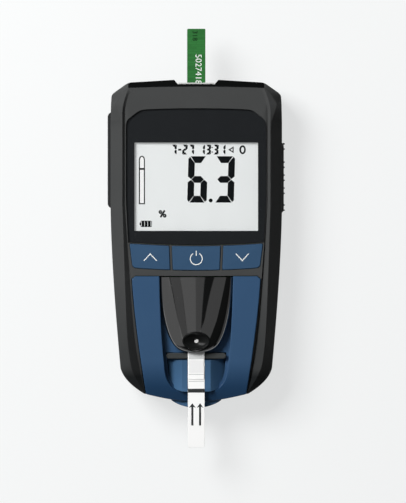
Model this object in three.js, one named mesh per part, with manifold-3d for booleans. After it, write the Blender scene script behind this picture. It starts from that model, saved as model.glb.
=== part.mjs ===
// Handheld blood analyzer lying on its back, face up, in millimetres. +Z points out of the display,
// +Y runs from the test strip to the code chip, and the table is at z = 0. The case is symmetric in X.
import * as THREE from 'three';
import { mergeVertices } from 'three/addons/utils/BufferGeometryUtils.js';
import Module from 'manifold-3d';

const wasm = await Module();
wasm.setup();
const { clamp, lerp, mapLinear, smoothstep } = THREE.MathUtils;

// Clearances
const seam = 0.3;
const keySeam = 0.2;
const slideGap = 0.15;
// Far enough for a cutter to pass right through
const beyond = 60;

// Walls of the case
const sideWall = 2;
const faceWall = 2.4;
const floorWall = 2;

// Batteries, their bay and its door: the cells set the depth of the case
const cellRadius = 5.25;
const cellLength = 44.5;
const cellPitch = 10.8;
const cellCount = 4;
const cellTipRadius = 1.9;
const cellTip = 0.8;
const springRoom = 4.6;
const plateRoom = 1.4;
const contactThick = 0.4;
const bayWall = 1.3;
const bayBottomY = 3.6;
const bayTopY = bayBottomY + cellLength + springRoom + plateRoom;
const bayHalfWidth = cellPitch * cellCount / 2 + seam;
const doorThick = 1.6;
const doorHalfWidth = bayHalfWidth + 2.1;
const doorBottomY = bayBottomY - 4.3;
const doorTopY = bayTopY + 1.6;
const doorTabWidth = 7;
const doorTabThick = 1;
const doorTabReach = 2;
const doorTabX = doorHalfWidth - 10;

// Heights, from the table up
const footHeight = 0.8;
const floorTopZ = footHeight + floorWall;
const doorLedgeZ = footHeight + doorThick + slideGap;
const doorTabTopZ = floorTopZ + doorTabThick + slideGap;
const cellZ = footHeight + doorThick + 0.5 + cellRadius;
const bayRoofZ = cellZ + cellRadius + 0.25;
const boardThick = 1.6;
const boardZ = bayRoofZ + bayWall + 0.65;
const boardTopZ = boardZ + boardThick;
const faceZ = boardTopZ + 8.3;
const crestZ = faceZ + 1.1;
const bevelZ = faceZ - 6;
const partingZ = faceZ - 12.5;
const tuckZ = partingZ - 5.5;

// Display
const windowHalfWidth = 28.4;
const windowTopY = 43.9;
const windowBottomY = 3.3;
const windowMiddleY = (windowTopY + windowBottomY) / 2;
const lensHalfWidth = windowHalfWidth + 3.8;
const lensFootX = lensHalfWidth - 1.1;
const lensBrow = 15.5;
const lensTopY = windowTopY + lensBrow;
const lensThick = 1.2;
const gasketThick = 0.3;
const gasketZ = faceZ - lensThick - gasketThick;
const glassHalfWidth = windowHalfWidth + 2.2;
const glassBottomY = windowBottomY - 2.2;
const glassTopY = windowTopY + 2.2;
const glassThick = 1.8;
const glassTopZ = faceZ - faceWall - slideGap;
const glassZ = glassTopZ - glassThick;
const guideThick = 2.4;

// Keys, in a row whose edges bow towards the display
const windowToKeys = 7.1;
const keyLength = 11;
const keyRowTopY = windowBottomY - windowToKeys;
const keyRowBottomY = keyRowTopY - keyLength;
const keyRowBow = 1.2;
const keyRowHalfWidth = lensHalfWidth - 1.6;
const keyRowFootX = keyRowHalfWidth - 1.1;
const keyRibShare = 0.386;
const keyRibWidth = 1.25;
const keyCornerRadius = 2.2;
const keyProud = 0.4;
const keyTravel = 0.8;
const keyFlange = 0.5;
const keyFlangeThick = 1;
const keyStemRadius = 2.4;
const matFrameThick = 1.1;
const matSheetZ = boardTopZ + matFrameThick;
const matHalfWidth = lensHalfWidth - 5.2;
const domeRadius = 3.6;
const domeTopZ = boardTopZ + 3.5;

// Lower panel, and the hood over the optics
const panelTopY = keyRowBottomY - 2.8;
const panelTopX = keyRowFootX + 0.1;
const panelFootX = panelTopX - 6.5;
const panelThick = 1.6;
const panelSkirtZ = bevelZ - 1.8;
const hoodTopY = panelTopY - 0.4;
const hoodLength = 34.5;
const hoodNoseY = hoodTopY - hoodLength;
const hoodPeakY = hoodNoseY + 14.5;
const hoodHalfWidth = 16.6;
const hoodPeakZ = faceZ + 3.1;
const hoodRimZ = faceZ - 1.3;
const hoodWall = 1.5;
const pocketTopX = hoodHalfWidth + seam;
const pocketFootX = pocketTopX - 2.9;
const pocketWall = 1.4;
const ledgeTopZ = faceZ - 5.5;
const ledgeWidth = 1.4;

// Outline of the case, and the rails beside the display and the lower panel
const crestX = lensHalfWidth + 1.8;
const crestTopX = crestX - 2.9;
const crestFootX = crestX - 4.1;
const crestTopY = lensTopY + 9.8;
const crestFootY = hoodNoseY - 6.7;
const crestFall = 0.48;
const railSlope = 1.7;
const railFootSlope = 3.4;
const caseHalfWidth = crestX + 5.5;
const shoulderX = caseHalfWidth - 8.2;
const shoulderY = crestTopY + 2.4;
const shoulderRise = 0.06;
const chamferX = caseHalfWidth - 0.5;
const chamferY = shoulderY - 5.5;
const facetY = crestTopY - 7.7;
const facetLength = 8.6;
const facetReach = 3.4;
const facetDrop = 1.2;
const sideTopY = facetY - 3.5;
const sideArcY = windowBottomY + 11.9;
const heelY = crestFootY - 0.6;
const heelInset = 4.6;
const cornerX = crestFootX - 5.8;
const cornerY = heelY - 11.8;
const caseBottomY = cornerY - 3.6;
const pocketBottomY = cornerY + 0.9;

// The face falls away towards the strip end
const fallStartY = panelTopY + 0.6;
const fallRate = 0.0005;
const rollStartY = crestFootY + 1.2;
const rollRate = 0.018;

// Sample funnel
const funnelY = hoodNoseY + 5.2;
const funnelRx = 6.2;
const funnelRy = 4.1;
const funnelWall = 0.35;
const funnelHoleRadius = 0.95;

// Test strip and its holder
const stripWidth = 7.7;
const stripThick = 0.9;
const stripLength = 58.3;
const stripZ = faceZ - 2.9;
const stripTopZ = stripZ + stripThick;
const stripInnerY = hoodPeakY;
const stripOuterY = stripInnerY - stripLength;
const bossHalfWidth = stripWidth / 2 + 2.75;
const bossTopZ = stripZ + 0.6;
const bossRimZ = ledgeTopZ - 0.6;
const bossReach = pocketFootX + 1.2;
const plateZ = partingZ + 2.6;
const plateThick = 1.4;
const lipHalfWidth = 11.5;
const lipY = caseBottomY - 3.2;
const legX = 8;
const legY = (hoodNoseY + caseBottomY) / 2 + 1.8;
const legRadius = 2.2;
const barY = hoodNoseY - 1.9;
const barWidth = 3.3;
const barHalfLength = pocketFootX - 0.2;
const barTopZ = stripZ - 0.25;
const barZ = barTopZ - 1.7;

// Code chip, its socket and the notch that it comes out of
const chipWidth = 8.4;
const chipThick = 1.2;
const chipLength = 38.3;
const chipCorner = 0.4;
const chipZ = faceZ - 5.3;
const notchHalfWidth = chipWidth;
const notchMouth = notchHalfWidth + 1.8;
const notchY = shoulderY - 0.9;
const chipInnerY = notchY - 12.7;
const socketWall = 2;
const socketTopY = notchY - 5;
const combHalfWidth = 3.2;
const memoryHalfWidth = 2.4;
const memoryLength = 5.5;
const memoryThick = 0.9;

// Main board and what stands on it
const boardHalfWidth = caseHalfWidth - 9;
const boardTopY = notchY - 4.2;
const boardBottomY = hoodNoseY + 2;
const boardCorner = 4.5;
const opticsHalfWidth = 7.5;
const opticsBottomY = boardBottomY + 1.2;
const opticsTopY = hoodTopY - 6;
const readingYs = [opticsBottomY + 6.3, opticsBottomY + 15.3];
const readingZ = boardTopZ + 1.6;
const readingRadius = 1.7;
const readingThick = 2;
const lampY = opticsTopY - 5;
const lampPitch = 3.4;
const lampSide = 1.6;
const processorX = hoodHalfWidth + 2.7;
const processorY = hoodTopY - 7;
const processorHalfSide = 5;
const processorLegs = 7;
const beeperRadius = 4.6;
const beeperSpot = [-(pocketTopX + pocketWall + beeperRadius + 1.3), hoodTopY - 10];
const beeperThick = 2.6;

// Fasteners and feet, each place as [x, y] in the right half
const screwRadius = 1.1;
const screwHeadRadius = 2.1;
const screwHeadThick = 1.5;
const screwHeadZ = footHeight + 4.9;
const screwTopZ = bevelZ - 0.5;
const bossRadius = 2.9;
const upperScrew = [caseHalfWidth - 8.1, facetY + 0.1];
const lowerScrew = [crestFootX - 1.1, crestFootY - 0.3];
const boardScrewRadius = 0.8;
const boardScrewLength = 4.6;
const boardScrewHead = 1.9;
const boardScrewHeadThick = 1.1;
const upperPost = [boardHalfWidth - 2.5, windowMiddleY];
const lowerPost = [boardHalfWidth - 6.5, boardBottomY + 6.5];
const postRadius = 2.2;
const footRadius = 3.6;
const footSink = 0.5;
const upperFoot = [doorHalfWidth + footRadius + 2, windowTopY + 2.1];
const lowerFoot = [crestFootX - 7.9, crestFootY + 9.2];
const labelHalfWidth = 20;

// Side grips, each from its low end to its high end along Y, and the ribs' places about the middle
const leftGrip = [sideArcY - 1.4, sideTopY];
const rightGrip = [sideArcY - 3.7, windowTopY + 0.3];
const gripLowZ = partingZ - 4.4;
const gripHighZ = partingZ + 4.4;
const gripSink = 0.6;
const gripProud = 0.9;
const gripTaper = 1.6;
const ribProud = 0.5;
const ribWidth = 0.8;
const ribPairGap = 2.4;
const ribPairs = [-13.8, -6, 0, 6, 14.4];

const bothSides = [-1, 1];

// Closed geometries in, one closed geometry out
function solid(geometry) {
  const bare = geometry.clone();
  bare.deleteAttribute('normal');
  bare.deleteAttribute('uv');
  const merged = mergeVertices(bare, 1e-5);
  return new wasm.Manifold(new wasm.Mesh({
    numProp: 3,
    vertProperties: new Float32Array(merged.attributes.position.array),
    triVerts: new Uint32Array(merged.index.array),
  }));
}

function geometryOf(manifold) {
  const mesh = manifold.getMesh();
  const geometry = new THREE.BufferGeometry();
  geometry.setAttribute('position', new THREE.Float32BufferAttribute(mesh.vertProperties, 3));
  geometry.setIndex(new THREE.BufferAttribute(new Uint32Array(mesh.triVerts), 1));
  return geometry;
}

function cut(base, ...tools) {
  return geometryOf(tools.reduce((left, tool) => left.subtract(solid(tool)), solid(base)));
}

function join(base, ...more) {
  return geometryOf(more.reduce((whole, piece) => whole.add(solid(piece)), solid(base)));
}

function meet(base, ...others) {
  return geometryOf(others.reduce((shared, other) => shared.intersect(solid(other)), solid(base)));
}

// Simple forms
function block(x0, x1, y0, y1, z0, z1) {
  const geometry = new THREE.BoxGeometry(x1 - x0, y1 - y0, z1 - z0);
  return geometry.translate((x0 + x1) / 2, (y0 + y1) / 2, (z0 + z1) / 2);
}

function centredBlock(halfWidth, y0, y1, z0, z1) {
  return block(-halfWidth, halfWidth, y0, y1, z0, z1);
}

// The same as a block, on one side of the middle: its inner and outer x come as distances from it
function sideBlock(side, inner, outer, y0, y1, z0, z1) {
  return side > 0 ? block(inner, outer, y0, y1, z0, z1) : block(-outer, -inner, y0, y1, z0, z1);
}

function post([x, y], radius, z0, z1, sides = 18) {
  const geometry = new THREE.CylinderGeometry(radius, radius, z1 - z0, sides);
  return geometry.rotateX(Math.PI / 2).translate(x, y, (z0 + z1) / 2);
}

function ovalPost(rx, ry, y, z0, z1) {
  return post([0, 0], 1, z0, z1, 28).scale(rx, ry, 1).translate(0, y, 0);
}

function prism(outline, z0, z1) {
  const shape = new THREE.Shape(outline.map(([x, y]) => new THREE.Vector2(x, y)));
  return new THREE.ExtrudeGeometry(shape, { depth: z1 - z0, bevelEnabled: false }).translate(0, 0, z0);
}

function turned(profile, sides) {
  return new THREE.LatheGeometry(profile.map(([r, h]) => new THREE.Vector2(r, h)), sides);
}

// A closed skin through rings of equal length, each a list of [x, y, z] at one y, with flat ends
function loft(sections) {
  const flat = (ring) => ring.map(([x, , z]) => new THREE.Vector2(x, z));
  const backwards = THREE.ShapeUtils.isClockWise(flat(sections[0]));
  const rings = backwards ? sections.map((ring) => [...ring].reverse()) : sections;
  const count = rings[0].length;
  const faces = [];
  for (let r = 0; r < rings.length - 1; r += 1) {
    for (let i = 0; i < count; i += 1) {
      const a = r * count + i;
      const b = r * count + (i + 1) % count;
      faces.push([a, b, a + count], [b, b + count, a + count]);
    }
  }
  const last = (rings.length - 1) * count;
  const cap = (ring) => THREE.ShapeUtils.triangulateShape(flat(ring), []);
  faces.push(...cap(rings[0]).map(([p, q, s]) => [p, s, q]));
  faces.push(...cap(rings.at(-1)).map((face) => face.map((i) => last + i)));
  const falling = rings[0][0][1] > rings.at(-1)[0][1];
  const geometry = new THREE.BufferGeometry();
  geometry.setAttribute('position', new THREE.Float32BufferAttribute(rings.flat(2), 3));
  geometry.setIndex(faces.flatMap(([p, q, s]) => (falling ? [p, q, s] : [q, p, s])));
  return geometry;
}

// Outlines
function samples(path, divisions) {
  const list = path.getPoints(divisions).map((p) => [p.x, p.y]);
  return list.filter(([x, y], i) => i === 0 || Math.hypot(x - list[i - 1][0], y - list[i - 1][1]) > 1e-4);
}

function stepsBetween(from, to, count) {
  return Array.from({ length: count + 1 }, (_, i) => lerp(from, to, i / count));
}

function mirrorX(outline) {
  return outline.map(([x, y]) => [-x, y]).reverse();
}

// A right half outline, from one end to the other, closed with its mirror image
function mirrored(right) {
  return [...right, ...mirrorX(right.filter(([x]) => x > 1e-6))];
}

// Moves a closed outline outwards by a distance, along each corner's bisector
function grow(outline, distance) {
  const at = (i) => outline[(i + outline.length) % outline.length];
  const area = outline.reduce((sum, [x, y], i) => sum + x * at(i + 1)[1] - at(i + 1)[0] * y, 0);
  return outline.map(([x, y], i) => {
    const [px, py] = at(i - 1);
    const [nx, ny] = at(i + 1);
    const before = new THREE.Vector2(y - py, px - x).normalize();
    const after = new THREE.Vector2(ny - y, x - nx).normalize();
    const bisector = before.clone().add(after).normalize();
    const reach = Math.sign(area) * distance / Math.max(bisector.dot(after), 0.5);
    return [x + bisector.x * reach, y + bisector.y * reach];
  });
}

// Height of the face: a gentle parabola down the panel, and a steeper one over the strip end
function surfaceZ(y) {
  const gentle = Math.max(0, fallStartY - y);
  const roll = Math.max(0, rollStartY - y);
  return faceZ - fallRate * gentle ** 2 - rollRate * roll ** 2;
}

// Half-width of the case: straight beside the display, then drawn in by a power of the distance
function sideX(y) {
  return caseHalfWidth - heelInset * (Math.max(0, sideArcY - y) / (sideArcY - heelY)) ** 1.55;
}

// Share of the way from the middle of the display down to the end of the rails
function railShare(y) {
  return Math.max(0, sideArcY - y) / (sideArcY - crestFootY);
}

function railCrestX(y) {
  const share = railShare(y);
  const head = clamp((y - sideTopY) / (crestTopY - sideTopY), 0, 1);
  const inset = (crestX - crestFootX) * (0.6 * share + 0.4 * share ** 8);
  return crestX - inset - (crestX - crestTopX) * head ** 1.5;
}

function railCrestZ(y) {
  return crestZ - crestFall * Math.max(0, crestFootY - y);
}

function railInnerX(y) {
  return railCrestX(y) - lerp(railSlope, railFootSlope, Math.min(1, railShare(y)));
}

// Right half of the case's outline, from the notch at the top end to the strip end
function casePlan() {
  const path = new THREE.Path();
  path.moveTo(notchMouth, shoulderY + (shoulderX - notchMouth) * shoulderRise);
  path.lineTo(shoulderX, shoulderY);
  path.lineTo(chamferX, chamferY);
  for (const y of [(chamferY + facetY) / 2, facetY, sideTopY]) {
    path.lineTo(mapLinear(y, chamferY, sideTopY, chamferX, caseHalfWidth), y);
  }
  path.lineTo(caseHalfWidth, facetY - facetLength);
  for (const y of stepsBetween(sideArcY, heelY, 5)) path.lineTo(sideX(y), y);
  path.quadraticCurveTo(sideX(heelY) - 1.7, heelY - 4.4, cornerX, cornerY);
  path.quadraticCurveTo(cornerX - 14, caseBottomY, 3, caseBottomY);
  return samples(path, 5);
}

function shrunkPlan(inset) {
  const plan = mirrored(casePlan());
  const half = grow(plan, -inset).slice(0, plan.length / 2);
  return half.sort((p, q) => q[1] - p[1]);
}

// A ring at one y, from the right half of its section
function ringAt(y, half) {
  return mirrored(half).map(([x, z]) => [x, y, z]);
}

// The upper shell's section where the outline is at [x, y]: up the side, over the bevel and its shoulder
// to the rail's crest, and down the rail's inner slope to the face
function upperSection([x, y]) {
  const endShare = clamp((y - crestTopY) / (shoulderY + 1.3 - crestTopY), 0, 1);
  const plateZ = lerp(surfaceZ(y), bevelZ, endShare);
  const ridgeZ = y > crestTopY ? plateZ : railCrestZ(y);
  const rimZ = Math.min(bevelZ, ridgeZ - 0.3);
  const crest = Math.min(railCrestX(y), x - 0.05);
  const inner = Math.min(railInnerX(y), crest - 0.1);
  const facet = Math.max(0, 1 - Math.abs(y - facetY) / facetLength);
  const shoulder = crest + Math.min(x - crest, 0.5 + facetReach * facet) * 0.9;
  const bevelTopZ = Math.max(rimZ, ridgeZ - 0.5 - facetDrop * facet);
  return ringAt(y, [[x, partingZ], [x, rimZ], [shoulder, bevelTopZ], [crest, ridgeZ], [inner, plateZ]]);
}

function upperForm() {
  return loft(casePlan().map(upperSection));
}

// The hollow of the upper shell, open at the parting line
function upperHollow() {
  return loft(shrunkPlan(sideWall).map(([x, y]) => {
    const endFall = Math.max(0, y - (crestTopY - 3)) * 0.6;
    const roof = Math.max(partingZ + 2, surfaceZ(y) - faceWall - endFall);
    const shoulder = Math.min(railInnerX(y) - 0.2, x - 0.4);
    return ringAt(y, [[x, partingZ - 1], [x, Math.min(bevelZ - 1.4, roof - 0.5)], [shoulder, roof]]);
  }));
}

// How far the underside lifts off the table beyond two places near the ends
function endLift(y, upperY, lowerY) {
  const share = Math.max(0, (y - upperY) / 5, (lowerY - y) / 7);
  return 4.5 * Math.min(share, 1.05) ** 2;
}

// Outer form of the lower shell: upright, then tucked in towards the table
function lowerForm() {
  return loft(casePlan().map(([x, y]) => {
    const lift = endLift(y, shoulderY - 4, caseBottomY + 7);
    const tuck = Math.min(3.4, x * 0.6);
    return ringAt(y, [[x, partingZ], [x, tuckZ + lift * 0.6],
      [x - tuck * 0.35, footHeight + 2.6 + lift], [x - tuck, footHeight + lift]]);
  }));
}

function lowerHollow() {
  return loft(shrunkPlan(sideWall).map(([x, y]) => {
    const lift = endLift(y, shoulderY - 6, caseBottomY + 9);
    const tuck = Math.min(2.2, x * 0.6);
    return ringAt(y, [[x, partingZ + 1], [x, tuckZ + 0.2 + lift * 0.6],
      [x - tuck * 0.55, floorTopZ + 1.1 + lift], [x - tuck, floorTopZ + lift]]);
  }));
}

// Everything above the case's curved face lowered by a depth
function aboveFace(depth) {
  return loft(stepsBetween(panelTopY + 4, caseBottomY - 6, 16)
    .map((y) => ringAt(y, [[beyond, surfaceZ(y) - depth], [beyond, beyond]])));
}

// Everything inside the case's outline set back by a wall
function insideCase(wall) {
  return prism(grow(mirrored(casePlan()), -wall), -1, beyond);
}

function notch() {
  const mouthY = shoulderY + 3;
  const mouthX = mapLinear(mouthY, notchY, shoulderY + 1.2, notchHalfWidth, notchMouth);
  return prism(mirrored([[notchHalfWidth, notchY], [mouthX, mouthY]]), -1, beyond);
}

// The wall behind the notch, before the notch is cut
function notchBacking(z0, z1) {
  return centredBlock(notchMouth + sideWall, notchY - sideWall, notchY + 2.5, z0, z1);
}

// Raises a point of the keys' edges by the bow of their row
function bowed(x, y) {
  return [x, y + keyRowBow * (x / keyRowHalfWidth) ** 2];
}

function lensOutline() {
  const path = new THREE.Path();
  path.moveTo(0, lensTopY);
  path.quadraticCurveTo(lensHalfWidth / 2, lensTopY, lensHalfWidth - 8.2, lensTopY - 0.6);
  path.quadraticCurveTo(lensHalfWidth - 6.2, lensTopY - 0.8, lensHalfWidth - 4.6, lensTopY - 2.2);
  path.lineTo(lensHalfWidth - 1.8, lensTopY - 4.3);
  path.quadraticCurveTo(lensHalfWidth, lensTopY - 5.6, lensHalfWidth, lensTopY - 8);
  path.lineTo(lensHalfWidth, sideArcY + 2.3);
  const foot = stepsBetween(lensFootX, 0, 4).map((x) => bowed(x, keyRowTopY + 2 * seam));
  return mirrored([...samples(path, 4), ...foot]);
}

function keyRowX(y) {
  return mapLinear(y, keyRowTopY, keyRowBottomY, keyRowHalfWidth, keyRowFootX);
}

// Edge of the rib between two keys: side is -1 for the edge towards the middle, and 1 for the outer one
function keyRibX(y, side) {
  return keyRibShare * keyRowX(y) + side * keyRibWidth / 2;
}

function middleKeyOutline() {
  const edge = (y, shares) => shares.map((share) => bowed(share * keyRibX(y, -1), y));
  return mirrored([...edge(keyRowTopY, [0, 0.5, 1]), ...edge(keyRowBottomY, [1, 0.5, 0])]);
}

function rightKeyOutline() {
  const path = new THREE.Path();
  const [footX, footY] = bowed(keyRowFootX, keyRowBottomY);
  const middleX = (keyRibX(keyRowTopY, 1) + keyRowHalfWidth) / 2;
  path.moveTo(...bowed(keyRibX(keyRowTopY, 1), keyRowTopY));
  path.lineTo(...bowed(middleX, keyRowTopY));
  path.lineTo(...bowed(keyRowHalfWidth, keyRowTopY));
  path.lineTo(footX, footY + keyCornerRadius);
  path.quadraticCurveTo(footX, footY, footX - keyCornerRadius, footY);
  path.lineTo(...bowed(middleX, keyRowBottomY));
  path.lineTo(...bowed(keyRibX(keyRowBottomY, 1), keyRowBottomY));
  return samples(path, 4);
}

const keyMiddleY = (keyRowTopY + keyRowBottomY) / 2;
const sideKeyX = (keyRibX(keyMiddleY, 1) + keyRowX(keyMiddleY)) / 2;
const keyCentres = [-sideKeyX, 0, sideKeyX].map((x) => bowed(x, keyMiddleY));
const keyOutlines = [mirrorX(rightKeyOutline()), middleKeyOutline(), rightKeyOutline()];

// Half-width of the lower panel: drawn in by a power of the share of its length
function panelX(y) {
  return lerp(panelTopX, panelFootX, clamp((panelTopY - y) / (panelTopY - cornerY), 0, 1) ** 1.35);
}

function panelOutline() {
  const right = [[0, panelTopY - 0.2], [panelTopX - 1.6, panelTopY], [panelTopX - 0.2, panelTopY - 1]];
  for (const y of stepsBetween(panelTopY - 6, cornerY, 6)) right.push([panelX(y), y]);
  right.push([panelFootX, caseBottomY - 3], [0, caseBottomY - 3]);
  return mirrored(right);
}

// The pocket in the panel that holds the hood and the strip holder
function pocketOutline() {
  const path = new THREE.Path();
  const bendY = hoodNoseY - 5.5;
  path.moveTo(0, panelTopY + seam);
  path.lineTo(pocketTopX, panelTopY + seam);
  path.quadraticCurveTo(pocketTopX - 0.4, (hoodTopY + bendY) / 2 - 4, pocketFootX + 0.7, bendY);
  path.quadraticCurveTo(pocketFootX + 0.2, pocketBottomY + 0.7, pocketFootX - 8, pocketBottomY);
  path.lineTo(0, pocketBottomY);
  return mirrored(samples(path, 7));
}

// Half-width of the hood: a low power of one minus the square of the share of its length
function hoodX(y) {
  const share = clamp((hoodTopY - y) / (hoodTopY - hoodNoseY), 0, 1);
  return hoodHalfWidth * (1 - share ** 2) ** (1 / 3.5);
}

function hoodCrownZ(y) {
  return hoodPeakZ - (y > hoodPeakY ? 0.003 : 0.012) * (y - hoodPeakY) ** 2;
}

// The hood's sections are half ovals that stand on short upright sides
function hoodForm() {
  const shares = [0, 0.15, 0.3, 0.45, 0.58, 0.7, 0.8, 0.88, 0.94, 0.975, 0.995];
  return loft(shares.map((share) => {
    const y = lerp(hoodTopY, hoodNoseY, share);
    const arch = stepsBetween(0, Math.PI / 2, 6).map((angle) => [hoodX(y) * Math.max(0, Math.cos(angle)),
      lerp(hoodRimZ, hoodCrownZ(y), Math.sin(angle) ** 0.8)]);
    return ringAt(y, [[hoodX(y), ledgeTopZ], ...arch]);
  }));
}

// The funnel's bowl, round at its hole and oval at its rim
function funnelBowl(z) {
  const rim = funnelRy - funnelWall;
  const profile = [[0, -3], [funnelHoleRadius, -3], [funnelHoleRadius, 0.5], [rim * 0.4, 0.9],
    [rim * 0.7, 1.7], [rim * 0.9, 3], [rim, 4.2], [rim, 8], [0, 8]];
  const bowl = turned(profile, 28).rotateX(Math.PI / 2);
  const spots = bowl.attributes.position;
  for (let i = 0; i < spots.count; i += 1) {
    const radius = Math.hypot(spots.getX(i), spots.getY(i));
    const widen = lerp(1, funnelRx / funnelRy, smoothstep(radius, funnelHoleRadius, rim * 0.9));
    spots.setX(i, spots.getX(i) * widen);
  }
  return bowl.translate(0, funnelY, z);
}

// Places that come in fours, left and right
function fourPlaces(upper, lower) {
  return bothSides.flatMap((side) => [upper, lower].map(([x, y]) => [side * x, y]));
}

const screwPlaces = fourPlaces(upperScrew, lowerScrew);
const postPlaces = fourPlaces(upperPost, lowerPost);
const footPlaces = fourPlaces(upperFoot, lowerFoot);
const cellXs = Array.from({ length: cellCount }, (_, i) => (i - (cellCount - 1) / 2) * cellPitch);

// Case
function frontCase() {
  const form = upperForm();
  const bosses = screwPlaces.map((spot) => meet(post(spot, bossRadius, partingZ, faceZ - 3.5), form));
  const shell = join(cut(form, upperHollow()), meet(notchBacking(partingZ, beyond), form), ...bosses);
  const chipSlot = centredBlock(chipWidth / 2 + seam, notchY - 6, notchY + 6, chipZ - seam,
    chipZ + chipThick + seam);
  const screwHoles = screwPlaces.map((spot) => post(spot, screwRadius + seam, 0, screwTopZ + 0.5, 14));
  return cut(shell, ...faceOpenings(), ...panelRooms(), notch(), chipSlot, ...screwHoles, ...gripRooms());
}

function faceOpenings() {
  const margin = 0.8;
  return [
    prism(grow(lensOutline(), slideGap), gasketZ, beyond),
    centredBlock(windowHalfWidth + margin, windowBottomY - margin, windowTopY + margin, 0, beyond),
    ...keyOutlines.map((outline) => prism(grow(outline, keySeam), 0, beyond)),
  ];
}

// Where the lower panel lies in the upper shell, and where the strip holder passes through its wall
function panelRooms() {
  const plan = prism(grow(panelOutline(), seam), 0, beyond);
  const strippedEnd = centredBlock(beyond, caseBottomY - 9, cornerY + 2, panelSkirtZ - seam, beyond);
  return [
    meet(plan, aboveFace(panelThick + seam)),
    meet(plan, cut(strippedEnd, insideCase(panelThick + seam))),
    meet(plan, prism(grow(pocketOutline(), pocketWall + seam), 0, beyond)),
    centredBlock(lipHalfWidth + seam, caseBottomY - 9, caseBottomY + 12, plateZ - seam,
      plateZ + plateThick + seam),
  ];
}

function rearCase() {
  const form = lowerForm();
  const bosses = screwPlaces.map((spot) => post(spot, bossRadius + 0.8, footHeight + 1, partingZ - 0.2));
  const pillars = postPlaces.map((spot) => post(spot, postRadius, floorTopZ - 0.5, boardZ, 14));
  const bayBox = centredBlock(bayHalfWidth + bayWall, bayBottomY - bayWall, bayTopY + bayWall,
    floorTopZ - 0.5, bayRoofZ + bayWall);
  const doorLedge = centredBlock(doorHalfWidth + 2.4, doorBottomY - 4.5, doorTopY + 2.4, footHeight + 0.5,
    doorLedgeZ + 1.6);
  const backing = meet(notchBacking(0, partingZ), form);
  const tub = join(cut(form, lowerHollow()), doorLedge, bayBox, backing, ...bosses, ...pillars);
  const bay = centredBlock(bayHalfWidth, bayBottomY, bayTopY, 0, bayRoofZ);
  const labelArea = centredBlock(labelHalfWidth, boardBottomY + 2.5, hoodTopY + 4, 0, footHeight + 0.25);
  return cut(tub, bay, labelArea, notch(), ...doorRooms(), ...fastenerRooms(), ...gripRooms());
}

// Rooms for the door's plate and hooks, high enough for the hooks to swing out
function doorRooms() {
  const swingY = doorBottomY + 2.9;
  const swingZ = doorTabTopZ + 4;
  const plate = centredBlock(doorHalfWidth + seam, doorBottomY - seam, doorTopY + seam, 0, doorLedgeZ);
  const hooks = bothSides.flatMap((side) => {
    const [inner, outer] = [doorTabX - doorTabWidth / 2 - seam, doorTabX + doorTabWidth / 2 + seam];
    return [sideBlock(side, inner, outer, doorBottomY - doorTabReach - 0.6, swingY, floorTopZ, swingZ),
      sideBlock(side, inner, outer, doorBottomY - seam, swingY, 0, swingZ)];
  });
  return [plate, ...hooks];
}

function fastenerRooms() {
  const pinZ = boardTopZ - boardScrewLength - seam;
  return [
    ...screwPlaces.map((spot) => post(spot, screwHeadRadius + 0.4, 0, screwHeadZ)),
    ...screwPlaces.map((spot) => post(spot, screwRadius + seam, 0, beyond, 14)),
    ...postPlaces.map((spot) => post(spot, boardScrewRadius + seam, pinZ, beyond, 12)),
    ...footPlaces.map((spot) => post(spot, footRadius + 0.2, 0, footHeight + footSink)),
  ];
}

function batteryDoor() {
  const plate = centredBlock(doorHalfWidth, doorBottomY, doorTopY, footHeight, footHeight + doorThick);
  const rootY = doorBottomY + 1.5;
  const hooks = bothSides.flatMap((side) => {
    const [inner, outer] = [doorTabX - doorTabWidth / 2, doorTabX + doorTabWidth / 2];
    return [sideBlock(side, inner, outer, doorBottomY - doorTabReach, rootY, doorTabTopZ - doorTabThick,
      doorTabTopZ),
    sideBlock(side, inner, outer, doorBottomY + 0.2, rootY, footHeight + doorThick / 2, doorTabTopZ)];
  });
  const thumbY = doorTopY - 7;
  const thumb = meet(post([0, thumbY], 6.5, 0, footHeight + 0.6, 24),
    centredBlock(9, thumbY - 3, thumbY + 6, 0, beyond));
  return cut(join(plate, ...hooks), thumb);
}

// A rubber pad for the right flank, across the parting line and tapered at its ends
function gripPad([y0, y1], proud) {
  const [inner, outer] = [caseHalfWidth - gripSink, caseHalfWidth + proud];
  const outline = [[inner, y0], [caseHalfWidth, y0], [outer, y0 + gripTaper], [outer, y1 - gripTaper],
    [caseHalfWidth, y1], [inner, y1]];
  return meet(prism(outline, gripLowZ, gripHighZ), crown(proud));
}

// A long oval bar that is proud of the case at the pad's middle height and level with it at its edges
function crown(proud) {
  const reach = caseHalfWidth + proud;
  const rise = (gripHighZ - gripLowZ) / 2 / Math.sqrt(1 - (caseHalfWidth / reach) ** 2);
  const bar = new THREE.CylinderGeometry(1, 1, 6 * beyond, 96).scale(reach, 1, rise);
  return bar.translate(0, 0, (gripLowZ + gripHighZ) / 2);
}

function gripRooms() {
  const room = (side, [y0, y1]) => sideBlock(side, caseHalfWidth - gripSink - slideGap, caseHalfWidth + 4,
    y0 - slideGap, y1 + slideGap, gripLowZ - slideGap, gripHighZ + slideGap);
  return [room(-1, leftGrip), room(1, rightGrip)];
}

function plainGrip() {
  return geometryOf(solid(gripPad(leftGrip, gripProud + ribProud)).mirror([1, 0, 0]));
}

function ribbedGrip() {
  const outer = caseHalfWidth + gripProud;
  const middleY = (rightGrip[0] + rightGrip[1]) / 2;
  const ribYs = ribPairs.flatMap((offset) => bothSides.map((side) => middleY + offset
    + side * ribPairGap / 2));
  const ribs = ribYs.map((y) => block(outer - 0.8, outer + ribProud, y - ribWidth / 2, y + ribWidth / 2,
    gripLowZ + 2.2, gripHighZ - 2.2));
  return join(gripPad(rightGrip, gripProud), ...ribs);
}

function rubberFoot(spot) {
  return post(spot, footRadius, 0, footHeight + footSink);
}

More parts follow.
